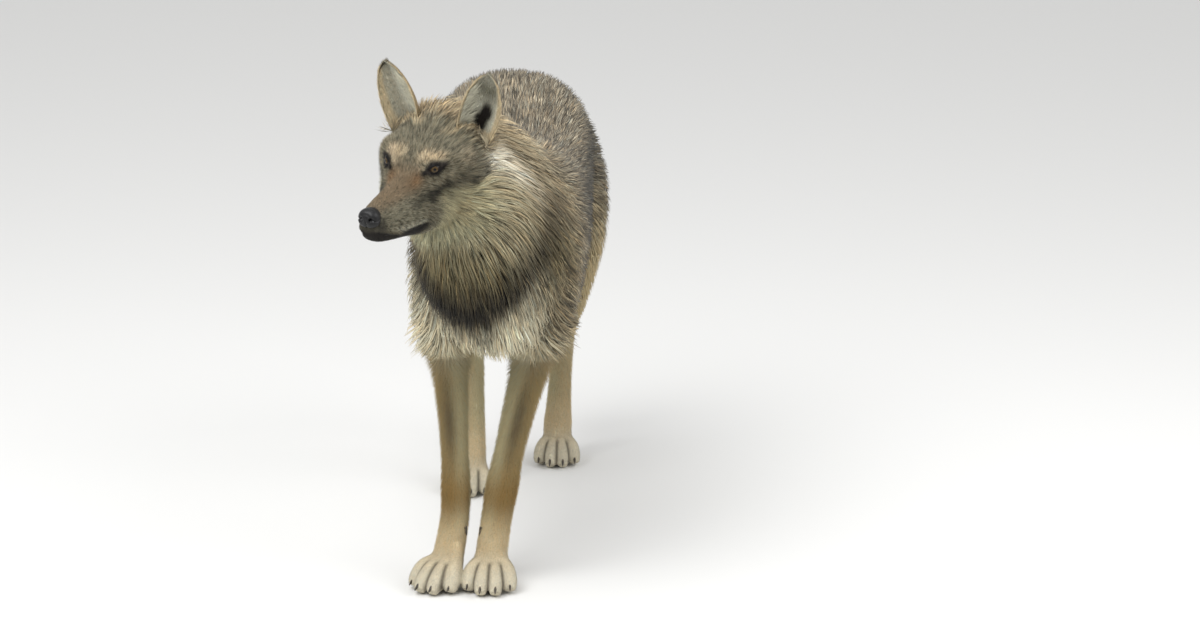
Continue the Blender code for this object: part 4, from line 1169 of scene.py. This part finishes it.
# the first number darkens the locks' roots with painted shade
COATS = {
    "long": coat_material("long_coat", 0.42, 1.10, 0.04),
    "short": coat_material("short_coat", 0.15, 1.05, 0.03),
}
HIDE = hide_material()
NOSE_SKIN = bare_skin_material("nose_leather", (0.0045, 0.0045, 0.0050), 1100.0, 0.14)
LIP_SKIN = bare_skin_material("lip_skin", (0.004, 0.0035, 0.0035), 600.0, 0.0)
HORN = horn_material()
EYEBALL = eye_material()


def write_attribute(mesh, name, kind, values):
    layer = mesh.attributes.new(name, kind, "POINT")
    key = "color" if kind == "FLOAT_COLOR" else "value"
    layer.data.foreach_set(key, np.ascontiguousarray(values, dtype=np.float32).ravel())


def write_pelt(mesh, colours):
    write_attribute(mesh, "Pelt", "FLOAT_COLOR", np.column_stack([colours, np.ones(len(colours))]))


# ---- Coat --------------------------------------------------------------------------------------------------
COAT_TRIANGLES = 1480000          # in all
PIECE_TRIANGLES = 190000          # in one piece
LOCK_TRIANGLES = (4, 10, 16)      # of a lock, by the number of its bends
SPIKE_BELOW, BENT_BELOW = 0.0185, 0.066      # lengths: a straight spike, a lock with one bend
ROOT_SUNK = 0.0008                # how far a lock's root lies under the skin
LOWEST = 0.0003                   # of the coat above the floor
GROUP, LEADERS = 7, 13            # locks that share a tone, and locks that lean together
GROUPED = 0.72                    # the share of locks that take the chance of their group
DARK, PALE = 0.17, 0.20           # the shares of black guard hairs and of pale ones where it is most grizzled
LOCK_COVER = 0.6                  # the skin that a lock covers, as a share of its length times its breadth
KEEPS_WAY = 0.62                  # how far a lock keeps its heading at each step
SUNK, SAME_FACE = 0.45, 0.35      # a step jumps if it ends deeper than so many steps, or where normals differ
LOCK_PATCH = 0.003                # a lock's share of the OFBake map
DARKEST, PALEST = 0.004, 0.9      # of a lock's colours
LEAN_REACH = 0.022                # how near a leading lock has to be
RISE = 1.55                       # how fast a lock rises from the skin at its root
CARRIED = (
    "points", "normals", "place", "head", "way", "coat", "length", "breadth", "is_head", "is_ear", "in_ear",
    "is_tail", "is_leg", "is_paw", "ear_u", "ear_v", "leg_mid", "tail_at")
PER_LOCK = ("points", "normals", "colour", "tip", "unwrapped", "piece")      # a block's rows for each lock
SHORT_HAIRED = ("head", "ears", "paws", "forelegs", "hind_legs")


def scatter_roots(skin, f):
    """Roots spread evenly over the skin, in each place as many as its length and breadth of hair need.
    Returns the three vertices round each root and their shares."""
    skin.data.calc_loop_triangles()
    corners = vectors_of(skin.data.loop_triangles, "vertices", np.int32)
    a, b, c = (f.points[corners[:, k]] for k in range(3))
    area = np.linalg.norm(np.cross(b - a, c - a), axis=1) / 2
    back, up, on_head = f.head[:, 1], f.head[:, 2], f.is_head > 0.5
    bare = (f.is_paw > 0.3) & (f.points[:, 2] < 0.010) & (f.normals[:, 2] < -0.45)
    at_lips = (np.abs(up - lip_height(back) + 0.001) < 0.0028) & (back < 0.118)
    bare = bare | (f.toe_gap > 0.6) | (on_head & (at_lips | (back < 0.010) | (f.lid < 1.55)))
    density = np.where(bare, 0.0, f.cover / (f.length * 2 * f.breadth * LOCK_COVER))
    lengths = f.length[corners].mean(axis=1)
    cost = np.array(LOCK_TRIANGLES)[np.digitize(lengths, (SPIKE_BELOW, BENT_BELOW))]
    expected = area * density[corners].mean(axis=1)
    expected = expected * min(1.0, COAT_TRIANGLES / (expected * cost).sum())
    total = np.cumsum(expected)
    marks = np.arange(0.5, total[-1] - 0.5)
    marks = marks + rng.uniform(-0.4, 0.4, len(marks))
    triangle = np.searchsorted(total, marks).clip(0, len(corners) - 1)
    r, s = np.sqrt(rng.random(len(triangle))), rng.random(len(triangle))
    return corners[triangle], np.stack([1 - r, r * (1 - s), r * s], axis=1)


def carried(values, corners, shares):
    """A vertex field read at the roots."""
    picked = values[corners]
    return (picked * shares.reshape(shares.shape + (1,) * (picked.ndim - 2))).sum(axis=1)


def nearest_of_few(points, share):
    """For each point the nearest of a few leading ones, one in so many, drawn at random."""
    few = rng.choice(len(points), max(1, len(points) // share), replace=False)
    return nearest_in(tree_of(points, few), points)


def trail(roots, steps, f):
    """Feet of a lock's rings: from its root it walks over the skin, turning with the lie of the coat.
    Returns the feet, the skin's normals there and its nearest vertices."""
    feet, normals, under = [roots.points], [roots.normals], [roots.nearest]
    at, heading, step = roots.points, roots.heading, roots.reach / steps
    for _ in range(steps):
        at = at + heading * step[:, None]
        near = nearest_in(f.tree, at)
        # a lock that would jump to another part of the body, such as an ear's root, runs straight on instead
        gap = ((at - f.points[near]) * f.normals[near]).sum(axis=1)
        jumps = (gap < -SUNK * step) | ((f.normals[near] * normals[-1]).sum(axis=1) < SAME_FACE)
        near = np.where(jumps, under[-1], near)
        stays = jumps[:, None]
        normal = np.where(stays, normals[-1], f.normals[near])
        at = np.where(stays, at, at - normal * gap[:, None])
        turned = unit(between(f.way[near], heading, KEEPS_WAY))
        heading = np.where(stays, heading, unit(turned - normal * (turned * normal).sum(axis=1)[:, None]))
        feet.append(at)
        normals.append(normal)
        under.append(near)
    return np.stack(feet, axis=1), np.stack(normals, axis=1), np.stack(under, axis=1)


def locks(feet, normals, height, half_width):
    """A block of solid locks with a three-cornered section: each is carried along its feet at a given height
    over the skin, is broadest about its middle and ends in a point. Their normals are near the skin's, so
    that a lock is lit nearly as the body under it is, which keeps the coat soft."""
    steps = feet.shape[1]
    line = feet + normals * height[:, :, None]
    if steps > 2:
        ahead = unit(np.gradient(line, axis=1))
    else:
        ahead = unit(np.repeat(line[:, 1:] - line[:, :1], 2, axis=1))
    side = unit(np.cross(ahead, normals))
    up = np.cross(side, ahead)
    breadths = {1: (0.85,), 2: (0.70, 1.0), 3: (0.65, 1.0, 0.72)}[steps - 1]
    sections = []
    for k, broad in enumerate(breadths):
        reach = (half_width * broad)[:, None]
        for across, over in ((-1.0, -0.15), (1.0, -0.15), (0.0, 0.75)):
            sections.append(line[:, k] + side[:, k] * reach * across + up[:, k] * reach * over)
    sections.append(line[:, -1])
    faces = [(0, 1, 2)]
    for a, b, c, d in grid_faces(len(breadths), 3, True):
        faces += [(a, c, b), (a, d, c)]
    last = 3 * (len(breadths) - 1)
    faces += [(last + (i + 1) % 3, last + i, last + 3) for i in range(3)]
    ring = ring_of_corners(steps)
    lean = np.array([(-0.5, 0.2), (0.5, 0.2), (0.0, 1.0)] * len(breadths) + [(0.0, 1.0)])
    own = lean[:, :1] * side[:, ring] + lean[:, 1:] * up[:, ring]
    return {
        "points": np.stack(sections, axis=1), "faces": np.array(faces), "along": ring / (steps - 1),
        "across": np.array([0.0, 1.0, 0.5] * len(breadths) + [0.5]),
        "normals": unit(0.45 * own + 0.75 * normals[:, ring])}


def ring_of_corners(steps):
    """The ring that each corner of a lock is on, the last being its point."""
    return np.append(np.repeat(np.arange(steps - 1), 3), steps - 1)


def some_locks(block, chosen):
    """The block with only the chosen ones of its locks."""
    return {key: value[chosen] if key in PER_LOCK else value for key, value in block.items()}


def region_of(roots):
    """The region of the body that each root belongs to, by name."""
    y, on_leg = roots.place[:, 1], roots.is_leg > 0.5
    names = np.select([y < -0.335, y < -0.20, y < 0.10], ["neck", "shoulders", "back"], "rump").astype(object)
    names[(roots.normals[:, 2] < -0.30) & (y > -0.30) & (roots.place[:, 2] < 0.52)] = "belly"
    names[on_leg & (roots.leg < 2)] = "forelegs"
    names[on_leg & (roots.leg >= 2)] = "hind_legs"
    names[roots.is_paw > 0.5] = "paws"
    names[roots.is_tail > 0.5] = "tail"
    names[roots.is_head > 0.5] = "head"
    names[roots.is_ear > 0.5] = "ears"
    return names


def piece_of(roots):
    """The piece of coat that each root belongs to: its region, and its side where the region has two."""
    aside = np.where(roots.region == "head", roots.head[:, 0], roots.place[:, 0])
    aside = np.where(roots.region == "ears", roots.ear_side, aside)
    aside = np.where(roots.is_leg > 0.5, np.where(roots.leg % 2 == 0, 1, -1), aside)
    sides = np.where(aside >= 0, "_left", "_right").astype(object)
    sides[np.isin(roots.region, ("belly", "tail"))] = ""
    return roots.region + sides


def turn_share(across, along):
    """A direction round an axis, as a share of a turn."""
    return np.arctan2(across, along) / (2 * math.pi) + 0.5


def unwrap(roots):
    """A place on the unrolled skin for each root: its angle round the limb, and how far along it is."""
    x, y, z = roots.place.T
    trunk = smooth_rows(TRUNK[:, :6], 70)[::-1]
    u = turn_share(x - np.interp(y, trunk[:, 1], trunk[:, 0]), z - np.interp(y, trunk[:, 1], trunk[:, 2]))
    v = (y + 0.62) / 1.15
    limb = np.isin(roots.region, ("forelegs", "hind_legs", "paws"))
    around = turn_share(*(roots.points - roots.leg_mid)[limb, :2].T)
    u[limb] = (roots.leg[limb] + 0.02 + 0.96 * around) / 4
    v[limb] = z[limb] / np.where(roots.region[limb] == "paws", 0.09, 0.60)
    tail = roots.region == "tail"
    u[tail], v[tail] = turn_share(x[tail] + 0.015, y[tail] - 0.49), roots.tail_at[tail]
    head = roots.region == "head"
    u[head], v[head] = turn_share(roots.head[head, 0], roots.head[head, 2]), roots.head[head, 1] / 0.30
    ear = roots.region == "ears"
    quarter = 0.50 * (roots.ear_side[ear] > 0) + 0.25 * (roots.in_ear[ear] > 0.5)
    u[ear], v[ear] = quarter + 0.25 * (0.5 + 0.38 * roots.ear_v[ear]), roots.ear_u[ear]
    return 0.01 + 0.98 * np.clip(np.stack([u, v], axis=1), 0, 1)


def build_piece(name, blocks, paint):
    """A piece of coat from blocks of locks, with each lock's colour, tip, and patch of the OFBake map."""
    faces, start = [], 0
    for block in blocks:
        count, corners = block["points"].shape[:2]
        faces.append((block["faces"] + start + np.arange(count)[:, None, None] * corners).reshape(-1, 3))
        start += count * corners
    faces = np.concatenate(faces)

    def vectors(key):
        return np.concatenate([block[key].reshape(-1, 3) for block in blocks])

    def per_lock(key):
        return np.concatenate([np.repeat(block[key], block["points"].shape[1], axis=0) for block in blocks])

    def per_corner(key):
        return np.concatenate([np.tile(block[key], len(block["points"])) for block in blocks])

    piece = mesh_object(name, vectors("points"), [faces], paint)
    mesh = piece.data
    write_pelt(mesh, vectors("colour"))
    write_attribute(mesh, "Tip", "FLOAT", per_lock("tip"))
    write_attribute(mesh, "Along", "FLOAT", per_corner("along"))
    spread = np.stack([per_corner("across"), per_corner("along")], axis=1) - 0.5
    places = per_lock("unwrapped") + LOCK_PATCH * spread
    layer = mesh.uv_layers.new(name="OFBake")
    layer.data.foreach_set("uv", places[faces.ravel()].astype(np.float32).ravel())
    mesh.normals_split_custom_set_from_vertices(vectors("normals").astype(np.float32))
    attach(piece, "root")
    return piece


def lock_tones(points, mixed):
    """Each lock's own tone: most vary a little, some are black guard hairs and some are pale, mostly in small
    groups."""
    count = len(points)
    near = nearest_of_few(points, GROUP)
    chance = rng.random(count)
    chance = np.where(rng.random(count) < GROUPED, chance[near], chance)
    tone = 1 + mixed * rng.normal(0, 0.15, count)
    tone = np.where(chance < DARK * mixed, 0.26 + 0.2 * rng.random(count), tone)
    tone = np.where(chance > 1 - PALE * mixed, 1.45 + 0.35 * rng.random(count), tone)
    warm = rng.normal(0, 0.05, count)
    return np.clip(tone, 0.15, 2.0)[:, None] * np.stack([1 + warm, np.ones(count), 1 - warm], axis=1)


def plant_roots(skin, f, grizzle, tips):
    """The roots of all locks, with what each lock needs: its length, breadth, heading, tone and place."""
    corners, shares = scatter_roots(skin, f)
    roots = Fields()
    for key in CARRIED:
        setattr(roots, key, carried(getattr(f, key), corners, shares))
    roots.nearest = corners[np.arange(len(corners)), shares.argmax(axis=1)]
    roots.leg, roots.ear_side = f.leg[roots.nearest], f.ear_side[roots.nearest]
    roots.normals = unit(roots.normals)
    count = len(roots.points)
    mixed = carried(grizzle, corners, shares)
    roots.mixed = mixed * ease(mixed, 0.10, 0.30)
    roots.tone = lock_tones(roots.points, roots.mixed)
    roots.tip = np.clip(carried(tips, corners, shares) * rng.uniform(0.3, 1.35, count), 0, 1)
    roots.reach = roots.length * rng.uniform(0.72, 1.18, count)
    roots.half_width = roots.breadth * rng.uniform(0.75, 1.2, count)
    sway = rng.normal(0, 0.13, count) * (1 - 0.4 * roots.is_head)
    roots.heading = unit(roots.way + np.cross(roots.normals, roots.way) * sway[:, None])
    roots.region = region_of(roots)
    roots.piece = piece_of(roots)
    roots.unwrapped = unwrap(roots)
    return roots


def grow_locks(roots, chosen, bends, colour, f):
    """A block of locks with so many bends from the chosen roots. Each takes its colours from the markings
    under its rings, and a little from those at its root, times its own tone."""
    some = Fields()
    for key, values in vars(roots).items():
        setattr(some, key, values[chosen])
    feet, normals, under = trail(some, bends + 1, f)
    t = np.arange(bends + 2) / (bends + 1)
    if bends:
        # neighbouring locks lean together towards the nearest of a few leading ones
        lead = nearest_of_few(some.points, LEADERS)
        some.tone *= (1 + 0.35 * some.mixed * (rng.random(len(roots.points))[chosen[lead]] - 0.5))[:, None]
        pull = rng.uniform(0.35, 0.75, len(chosen)) * (1 - 0.5 * some.is_leg)
        apart = np.linalg.norm(some.points - some.points[lead], axis=1)
        pull = pull * np.exp(-((apart / LEAN_REACH) ** 2))
        feet = feet + (pull[:, None] * t**1.4)[:, :, None] * (feet[lead] - feet)
    depth = some.coat * rng.uniform(0.55, 1.02, len(chosen))
    height = depth[:, None] * (1 - (1 - t) ** RISE) - ROOT_SUNK * (t == 0)
    block = locks(feet, normals, height, some.half_width)
    block["points"][:, :, 2] = np.maximum(block["points"][:, :, 2], LOWEST)
    rooted = (0.35 - 0.20 * some.is_head)[:, None, None]
    own = between(colour[under], colour[under[:, :1]], rooted)[:, ring_of_corners(bends + 2)]
    block["colour"] = np.clip(own * some.tone[:, None], DARKEST, PALEST)
    block.update(tip=some.tip, unwrapped=some.unwrapped, piece=some.piece)
    return block


def make_coat(skin, f, colour, grizzle, tips):
    """The whole coat: one piece for each side of a region, or more where it has too many triangles."""
    roots = plant_roots(skin, f, grizzle, tips)
    bends = np.digitize(roots.length, (SPIKE_BELOW, BENT_BELOW))
    blocks = [grow_locks(roots, np.flatnonzero(bends == count), count, colour, f) for count in range(3)]
    for name in sorted(set(roots.piece)):
        parts = [some_locks(block, block["piece"] == name) for block in blocks]
        parts = [part for part in parts if len(part["points"])]
        total = sum(len(part["points"]) * len(part["faces"]) for part in parts)
        pieces = math.ceil(total / PIECE_TRIANGLES)
        for index in range(pieces):
            own = []
            for part in parts:
                count = len(part["points"])
                own.append(some_locks(part, slice(count * index // pieces, count * (index + 1) // pieces)))
            label = f"coat_{name}_{index + 1}" if pieces > 1 else f"coat_{name}"
            build_piece(label, own, COATS["short" if name.startswith(SHORT_HAIRED) else "long"])


# ---- Nose, eyes, lips and claws ----------------------------------------------------------------------------
# The nose pad's rings: behind the nose tip, half its width, its reach up and down.
NOSE = np.array([
    (0.0000, 0.0080, 0.0060, 0.0075), (0.0030, 0.0140, 0.0108, 0.0140), (0.0090, 0.0175, 0.0135, 0.0165),
    (0.0150, 0.0172, 0.0138, 0.0150), (0.0230, 0.0150, 0.0120, 0.0115),
])
NOSE_UP = 0.002
NOSTRIL_ASIDE, NOSTRIL_UP = 0.0088, 0.0010
CLAW_LENGTH, CLAW_RADIUS = 0.0165, 0.0041
DEWCLAW_LENGTH, DEWCLAW_RADIUS, DEWCLAW_UP = 0.0105, 0.0034, 0.088
EAR_HAIRS, WHISKERS = 300, 34                # in each ear, and on each side of the muzzle


def make_nose():
    """The nose pad: rings along the muzzle, with a nostril hollowed on each side that runs on as a slit, and
    a furrow down the middle of the front."""
    back, half, rise, drop = smooth_rows(NOSE, 110).T[:, :, None]
    angle = full_turn(160)[None, :]
    across, height = signed_power(np.cos(angle), 0.84), signed_power(np.sin(angle), 0.84)
    x = half * across * (1 - 0.16 * height)
    z = NOSE_UP + height * np.where(height > 0, rise, drop)
    points = np.stack(np.broadcast_arrays(x, back, z), axis=-1)
    cap_share = np.linspace(0.04, 1, 26)[:, None, None]
    middle = np.array((0.0, float(back[0, 0]), NOSE_UP))
    cap = middle + (points[0][None] - middle) * cap_share
    cap[..., 1] = back[0, 0] - 0.0016 * (1 - cap_share[..., 0] ** 2)
    points = np.concatenate([cap, points])
    outward = unit(points - np.array((0.0, 0.013, NOSE_UP)))
    aside, behind, up = np.abs(points[..., 0]), points[..., 1], points[..., 2]
    hole = np.exp(-(((aside - NOSTRIL_ASIDE) / 0.0030) ** 2 + ((up - NOSTRIL_UP) / 0.0034) ** 2))
    hole = hole * ease(behind, 0.0110, 0.0040)
    slit_up = NOSTRIL_UP - 0.28 * (aside - NOSTRIL_ASIDE)
    slit = np.exp(-(((up - slit_up) / 0.0013) ** 2)) * ease(aside, 0.0095, 0.0125)
    slit = slit * ease(behind, 0.0190, 0.0120)
    furrow = bump(points[..., 0], 0.0, 0.0009) * ease(up, 0.0045, -0.002) * ease(behind, 0.0140, 0.0080)
    wing = np.exp(-(((aside - 0.0095) / 0.0042) ** 2 + ((up - 0.0065) / 0.0030) ** 2))
    wing = wing * ease(behind, 0.0150, 0.0060)
    push = 0.0007 * wing - 0.0062 * hole - 0.0022 * slit - 0.0015 * furrow
    points = points + outward * push[..., None]
    nose = mesh_object("nose_pad", *closed_tube(placed(points)), NOSE_SKIN)
    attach(nose, "root")
    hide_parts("nose")


def make_eye(name):
    """An eyeball whose rings run from the middle of the pupil to the back. The map Iris gives each point's
    direction and angle from the middle of the pupil."""
    side = SIDE_OF[name]
    facing, along, across = eye_axes(side)
    angle = np.concatenate([np.linspace(0.02, 0.7, 60), np.linspace(0.74, 3.1, 40)])[:, None]
    turn = full_turn(96)[None, :]
    swell = 0.0004 * ease(angle, 0.62, 0.45)            # the clear front stands out a little
    radius = EYE_RADIUS - 0.0002 + swell
    points = radius[..., None] * (
        np.cos(angle)[..., None] * facing
        + np.sin(angle)[..., None] * (np.cos(turn)[..., None] * along + np.sin(turn)[..., None] * across))
    eye = mesh_object(f"eyeball_{name}", *closed_tube(placed(points + eye_middle(side))), EYEBALL)
    flat = np.stack(np.broadcast_arrays(angle * np.cos(turn), angle * np.sin(turn)), axis=-1).reshape(-1, 2)
    flat = np.vstack([flat, (0.0, 0.0), (3.14, 0.0)])
    corners = vectors_of(eye.data.loops, "vertex_index", np.int32, 1)[:, 0]
    layer = eye.data.uv_layers.new(name="Iris")
    layer.data.foreach_set("uv", flat[corners].astype(np.float32).ravel())
    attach(eye, "root")
    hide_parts(f"eye_{name}")


def rim_of_eye(side, turn, distance):
    """Directions from an eye's middle to points round its opening, so far from the opening's middle."""
    facing, along, across = eye_axes(side)
    a = np.cos(turn) * distance
    b = np.sin(turn) * distance * along_opening(a)
    offset = (a * EYE_LONG)[..., None] * along + (b * EYE_HIGH)[..., None] * across
    ahead = np.sqrt(np.maximum(EYE_RADIUS**2 - (offset**2).sum(axis=-1), (0.30 * EYE_RADIUS) ** 2))
    return unit(offset + ahead[..., None] * facing)


def make_lids(name):
    """Bare black eyelid rims: a ring round the opening whose section is a flattened roll on the ball."""
    side = SIDE_OF[name]
    turn, section = full_turn(144)[:, None], full_turn(20)[None, :]
    distance = 1.26 + 0.36 * np.cos(section)
    over = EYE_RADIUS + 0.0001 + 0.0010 * np.sin(section) * np.where(np.sin(section) > 0, 1, 0.4)
    turn, distance, over = np.broadcast_arrays(turn, distance, over)
    points = placed(rim_of_eye(side, turn, distance) * over[..., None] + eye_middle(side))
    rows, columns = turn.shape
    flat = points.reshape(-1, 3)
    quads = grid_faces(rows + 1, columns, True) % len(flat)      # the last ring meets the first
    a, b, c = (flat[quads[:, k]] for k in range(3))
    ring_middle = points.mean(axis=1)[quads[:, 0] // columns]
    if ((a - ring_middle) * np.cross(b - a, c - a)).sum() < 0:
        quads = quads[:, ::-1]
    return flat, [quads]


def make_lips(f):
    """Dark lips: a slim roll along each side of the mouth, from the nose to its corner, on the skin."""
    parts = []
    for side in SIDE_OF.values():
        back = np.linspace(0.016, LIP_BACK + 0.003, 90)
        guess = placed(np.stack([side * head_value(back, 2), back, lip_height(back)], axis=1))
        nearest = nearest_in(f.tree, guess)
        feet, outward = f.points[nearest], f.normals[nearest]
        for line in [feet, outward] * 8:
            line[1:-1] = (line[:-2] + 2 * line[1:-1] + line[2:]) / 4
        outward = unit(outward)
        ahead = unit(np.gradient(feet, axis=0))
        above = np.cross(outward, ahead)
        t = np.linspace(0, 1, len(back))
        ends = np.minimum(1, 12 * (1 - t) + 0.1) * np.minimum(1, 10 * t + 0.2)
        thick = (0.0018 + 0.0022 * ease(t, 0.35, 0.95)) * ends
        angle = full_turn(14)[None, :, None]
        rings = feet[:, None] + thick[:, None, None] * (
            0.75 * np.cos(angle) * outward[:, None] + 1.15 * np.sin(angle) * above[:, None])
        parts.append(closed_tube(rings))
    return parts


def claw_shape(root, forwards, length, radius):
    """A claw: rings that narrow to a blunt point and bend down as they leave the toe, deeper than wide."""
    t = (1 - (1 - np.linspace(0, 1, 24)) ** 1.3)[:, None]
    path = root + forwards * length * t
    path[:, 2] -= 0.42 * length * t[:, 0] ** 2
    ahead = unit(np.gradient(path, axis=0))
    side = unit(np.cross(ahead, np.array((0, 0, 1.0))))
    up = np.cross(side, ahead)
    thick = radius * (1.1 - 0.72 * t) * np.sqrt(np.clip(1 - t**8, 0.02, 1))
    angle = full_turn(18)[None, :]
    keel = 1 - 0.18 * np.maximum(np.sin(angle), 0)
    across, over = (np.cos(angle) * 0.74 * keel)[..., None], (np.sin(angle) * 1.05)[..., None]
    rings = path[:, None] + thick[..., None] * (across * side[:, None] + over * up[:, None])
    rings[..., 2] = np.maximum(rings[..., 2], SOLE)
    return closed_tube(rings)


def make_loose_hair():
    """Long pale hair that crosses each ear from its inner edge, and whiskers on the muzzle."""
    blocks = []

    def add_hairs(line, normals, half_width, shade):
        block = locks(line, unit(normals), 0 * line[..., 0], half_width)
        count = len(line)
        block["colour"] = np.broadcast_to(shade, block["points"].shape)
        block["unwrapped"] = np.stack([np.linspace(0.02, 0.98, count), np.full(count, 0.5)], axis=1)
        block["tip"] = np.zeros(count)
        blocks.append(block)

    t = np.linspace(0, 1, 4)[None, :]
    for name, side in SIDE_OF.items():
        u = rng.uniform(0.16, 0.70, EAR_HAIRS)[:, None]
        v = -rng.uniform(0.55, 0.93, EAR_HAIRS)[:, None]
        reach = rng.uniform(0.25, 0.62, EAR_HAIRS)[:, None] * (1 - 0.35 * u)
        along = np.clip(u + rng.uniform(0.05, 0.22, EAR_HAIRS)[:, None] * t, 0, 0.97)
        local = ear_surface(name, along, side * (v + reach * t), 0.0)
        lift = rng.uniform(0.003, 0.009, EAR_HAIRS)[:, None] * np.sin(t * 2.2)
        local[..., 1] -= lift - ROOT_SUNK * (t == 0)
        line = placed(local, ear_frame(name))
        forward = np.broadcast_to(-ear_frame(name)[:3, 1], line.shape)
        shade = rng.uniform(0.60, 1.0, EAR_HAIRS)[:, None, None] * np.array((0.60, 0.575, 0.44))
        add_hairs(line, forward, rng.uniform(0.00022, 0.0004, EAR_HAIRS), shade)
    t = t[..., None]
    for side in SIDE_OF.values():
        back, over = rng.uniform(0.024, 0.062, WHISKERS), rng.uniform(0.004, 0.020, WHISKERS)
        root = np.stack([side * (head_value(back, 2) - 0.003), back, lip_height(back) + over], axis=1)
        outwards, upwards = rng.uniform(0.30, 0.7, WHISKERS), rng.uniform(-0.45, 0.05, WHISKERS)
        heading = unit(np.stack([side * outwards, np.ones(WHISKERS), upwards], axis=1))
        length = rng.uniform(0.014, 0.034, WHISKERS)[:, None, None]
        line = root[:, None] + heading[:, None] * length * t + np.array((0, 0.25, -0.30)) * length * t**2
        normals = np.broadcast_to(HEAD_PLACE[:3, :3] @ np.array((side, 0.0, 0.3)), line.shape)
        add_hairs(placed(line), normals, np.full(WHISKERS, 0.00016), 0.03)
    build_piece("coat_ear_hair", blocks, COATS["short"])


def dewclaws():
    """A small claw on the inner side of each foreleg, above the paw."""
    parts = []
    for name in ("fore_left", "fore_right"):
        inwards = -SIDE_OF[name.split("_")[1]]
        rows = smooth_rows(LEGS[name], 200)
        level = rows[np.abs(rows[:, 2] - DEWCLAW_UP).argmin()]
        out = unit(np.array((inwards, -0.35, 0.0)))
        root = level[:3] - MIDDLE + out * (level[3] - 0.0050) + np.array((0.0, 0.0, 0.004))
        heading = unit(out * 0.30 + np.array((0.0, -0.20, -0.92)))
        parts.append(claw_shape(root, heading, DEWCLAW_LENGTH, DEWCLAW_RADIUS))
    return parts


def make_claws():
    """A claw on each toe, and the dewclaws."""
    parts = []
    for middle, toe_out, scale in PAWS.values():
        turn = paw_turn(toe_out)
        for side, _, ahead in TOES:
            root = turn @ np.array((side * 1.05, -(ahead - 0.004), 0.0165)) * scale + (*middle, 0.0)
            forwards = turn @ unit(np.array((side * 3.0, -1.0, 0.0)))
            parts.append(claw_shape(root - MIDDLE, forwards, CLAW_LENGTH, CLAW_RADIUS))
    claws = mesh_object("claws", *join_parts(parts + dewclaws()), HORN)
    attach(claws, "root")


# ---- Build the wolf ----------------------------------------------------------------------------------------
skin = make_skin()
fields = skin_fields(skin)
pelt, grizzle, tips = markings(fields)
skin.data.materials.clear()
skin.data.materials.append(HIDE)
skin.data.polygons.foreach_set("material_index", np.zeros(len(skin.data.polygons), np.int32))
# painted shade: the skin between the locks is darker than they are, most under the long coat of the trunk
shade_under_coat = 0.72 + 0.25 * np.maximum(fields.is_leg, fields.is_head)     # the skin is darker than its locks
write_pelt(skin.data, pelt * shade_under_coat[:, None])
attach(skin, "root")
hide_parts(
    "chest", "ear_left", "ear_right", "fore_pastern_left", "fore_pastern_right", "fore_paw_left",
    "fore_paw_right", "foreleg_left", "foreleg_right", "head", "hind_leg_left", "hind_leg_right",
    "hind_paw_left", "hind_paw_right", "hock_left", "hock_right", "jaw", "neck", "rump", "tail", "trunk")

make_nose()
bare_parts = make_lips(fields)
for which in SIDE_OF:
    make_eye(which)
    bare_parts.append(make_lids(which))
bare = mesh_object("lips_and_lids", *join_parts(bare_parts), LIP_SKIN)
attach(bare, "root")
make_claws()
make_coat(skin, fields, pelt, grizzle, tips)
make_loose_hair()

# ---- Stage -------------------------------------------------------------------------------------------------
floor_material, floor_nodes, floor_surface = material("pale_floor")
floor_nodes.fill(floor_surface, {"Base Color": (0.74, 0.74, 0.73, 1), "Roughness": 0.85})
FLOOR = np.array(((-30, -30, 0), (30, -30, 0), (30, 30, 0), (-30, 30, 0)), float)
mesh_object("floor", FLOOR, [np.array(((0, 1, 2, 3),))], floor_material, smooth=False)

world = bpy.data.worlds.new("world")
bpy.context.scene.world = world
world.use_nodes = True
world.node_tree.nodes["Background"].inputs["Color"].default_value = (0.94, 0.94, 0.94, 1)
world.node_tree.nodes["Background"].inputs["Strength"].default_value = 0.80
bpy.context.scene.view_settings.view_transform = "Standard"


def soft_light(name, place, target, size, power):
    lamp = bpy.data.lights.new(name, "AREA")
    lamp.shape, lamp.size, lamp.energy = "DISK", size, power
    holder = bpy.data.objects.new(name, lamp)
    holder.location = place
    holder.rotation_euler = (Vector(target) - Vector(place)).to_track_quat("-Z", "Y").to_euler()
    bpy.context.scene.collection.objects.link(holder)


soft_light("sky_light", (-1.0, -1.8, 3.4), (0, -0.1, 0.5), 3.2, 130)
soft_light("side_light", (2.6, -0.6, 2.4), (0, -0.1, 0.5), 2.4, 36)

# The camera looks from in front and above, a little from the wolf's right.
TURN, FALL, AWAY = math.radians(5.5), math.radians(15.0), 9.0
PAWS_AT = np.array((-0.036, -0.251, 0.0))        # by the heels of the fore paws, on the floor
ASIDE, UPWARDS = 0.2177, 0.4331                  # from there to the middle of the picture
right = np.array((math.cos(TURN), math.sin(TURN), 0.0))
look = np.array((-math.sin(TURN) * math.cos(FALL), math.cos(TURN) * math.cos(FALL), -math.sin(FALL)))
above = np.cross(right, look)
aim = PAWS_AT + ASIDE * right + UPWARDS * above
lens = bpy.data.cameras.new("camera")
lens.sensor_width, lens.lens = 36.0, 167.4
camera = bpy.data.objects.new("camera", lens)
bpy.context.scene.collection.objects.link(camera)
camera.location = (aim - AWAY * look).tolist()
camera.rotation_mode = "QUATERNION"
camera.rotation_quaternion = Vector(look.tolist()).to_track_quat("-Z", "Y")
bpy.context.scene.camera = camera
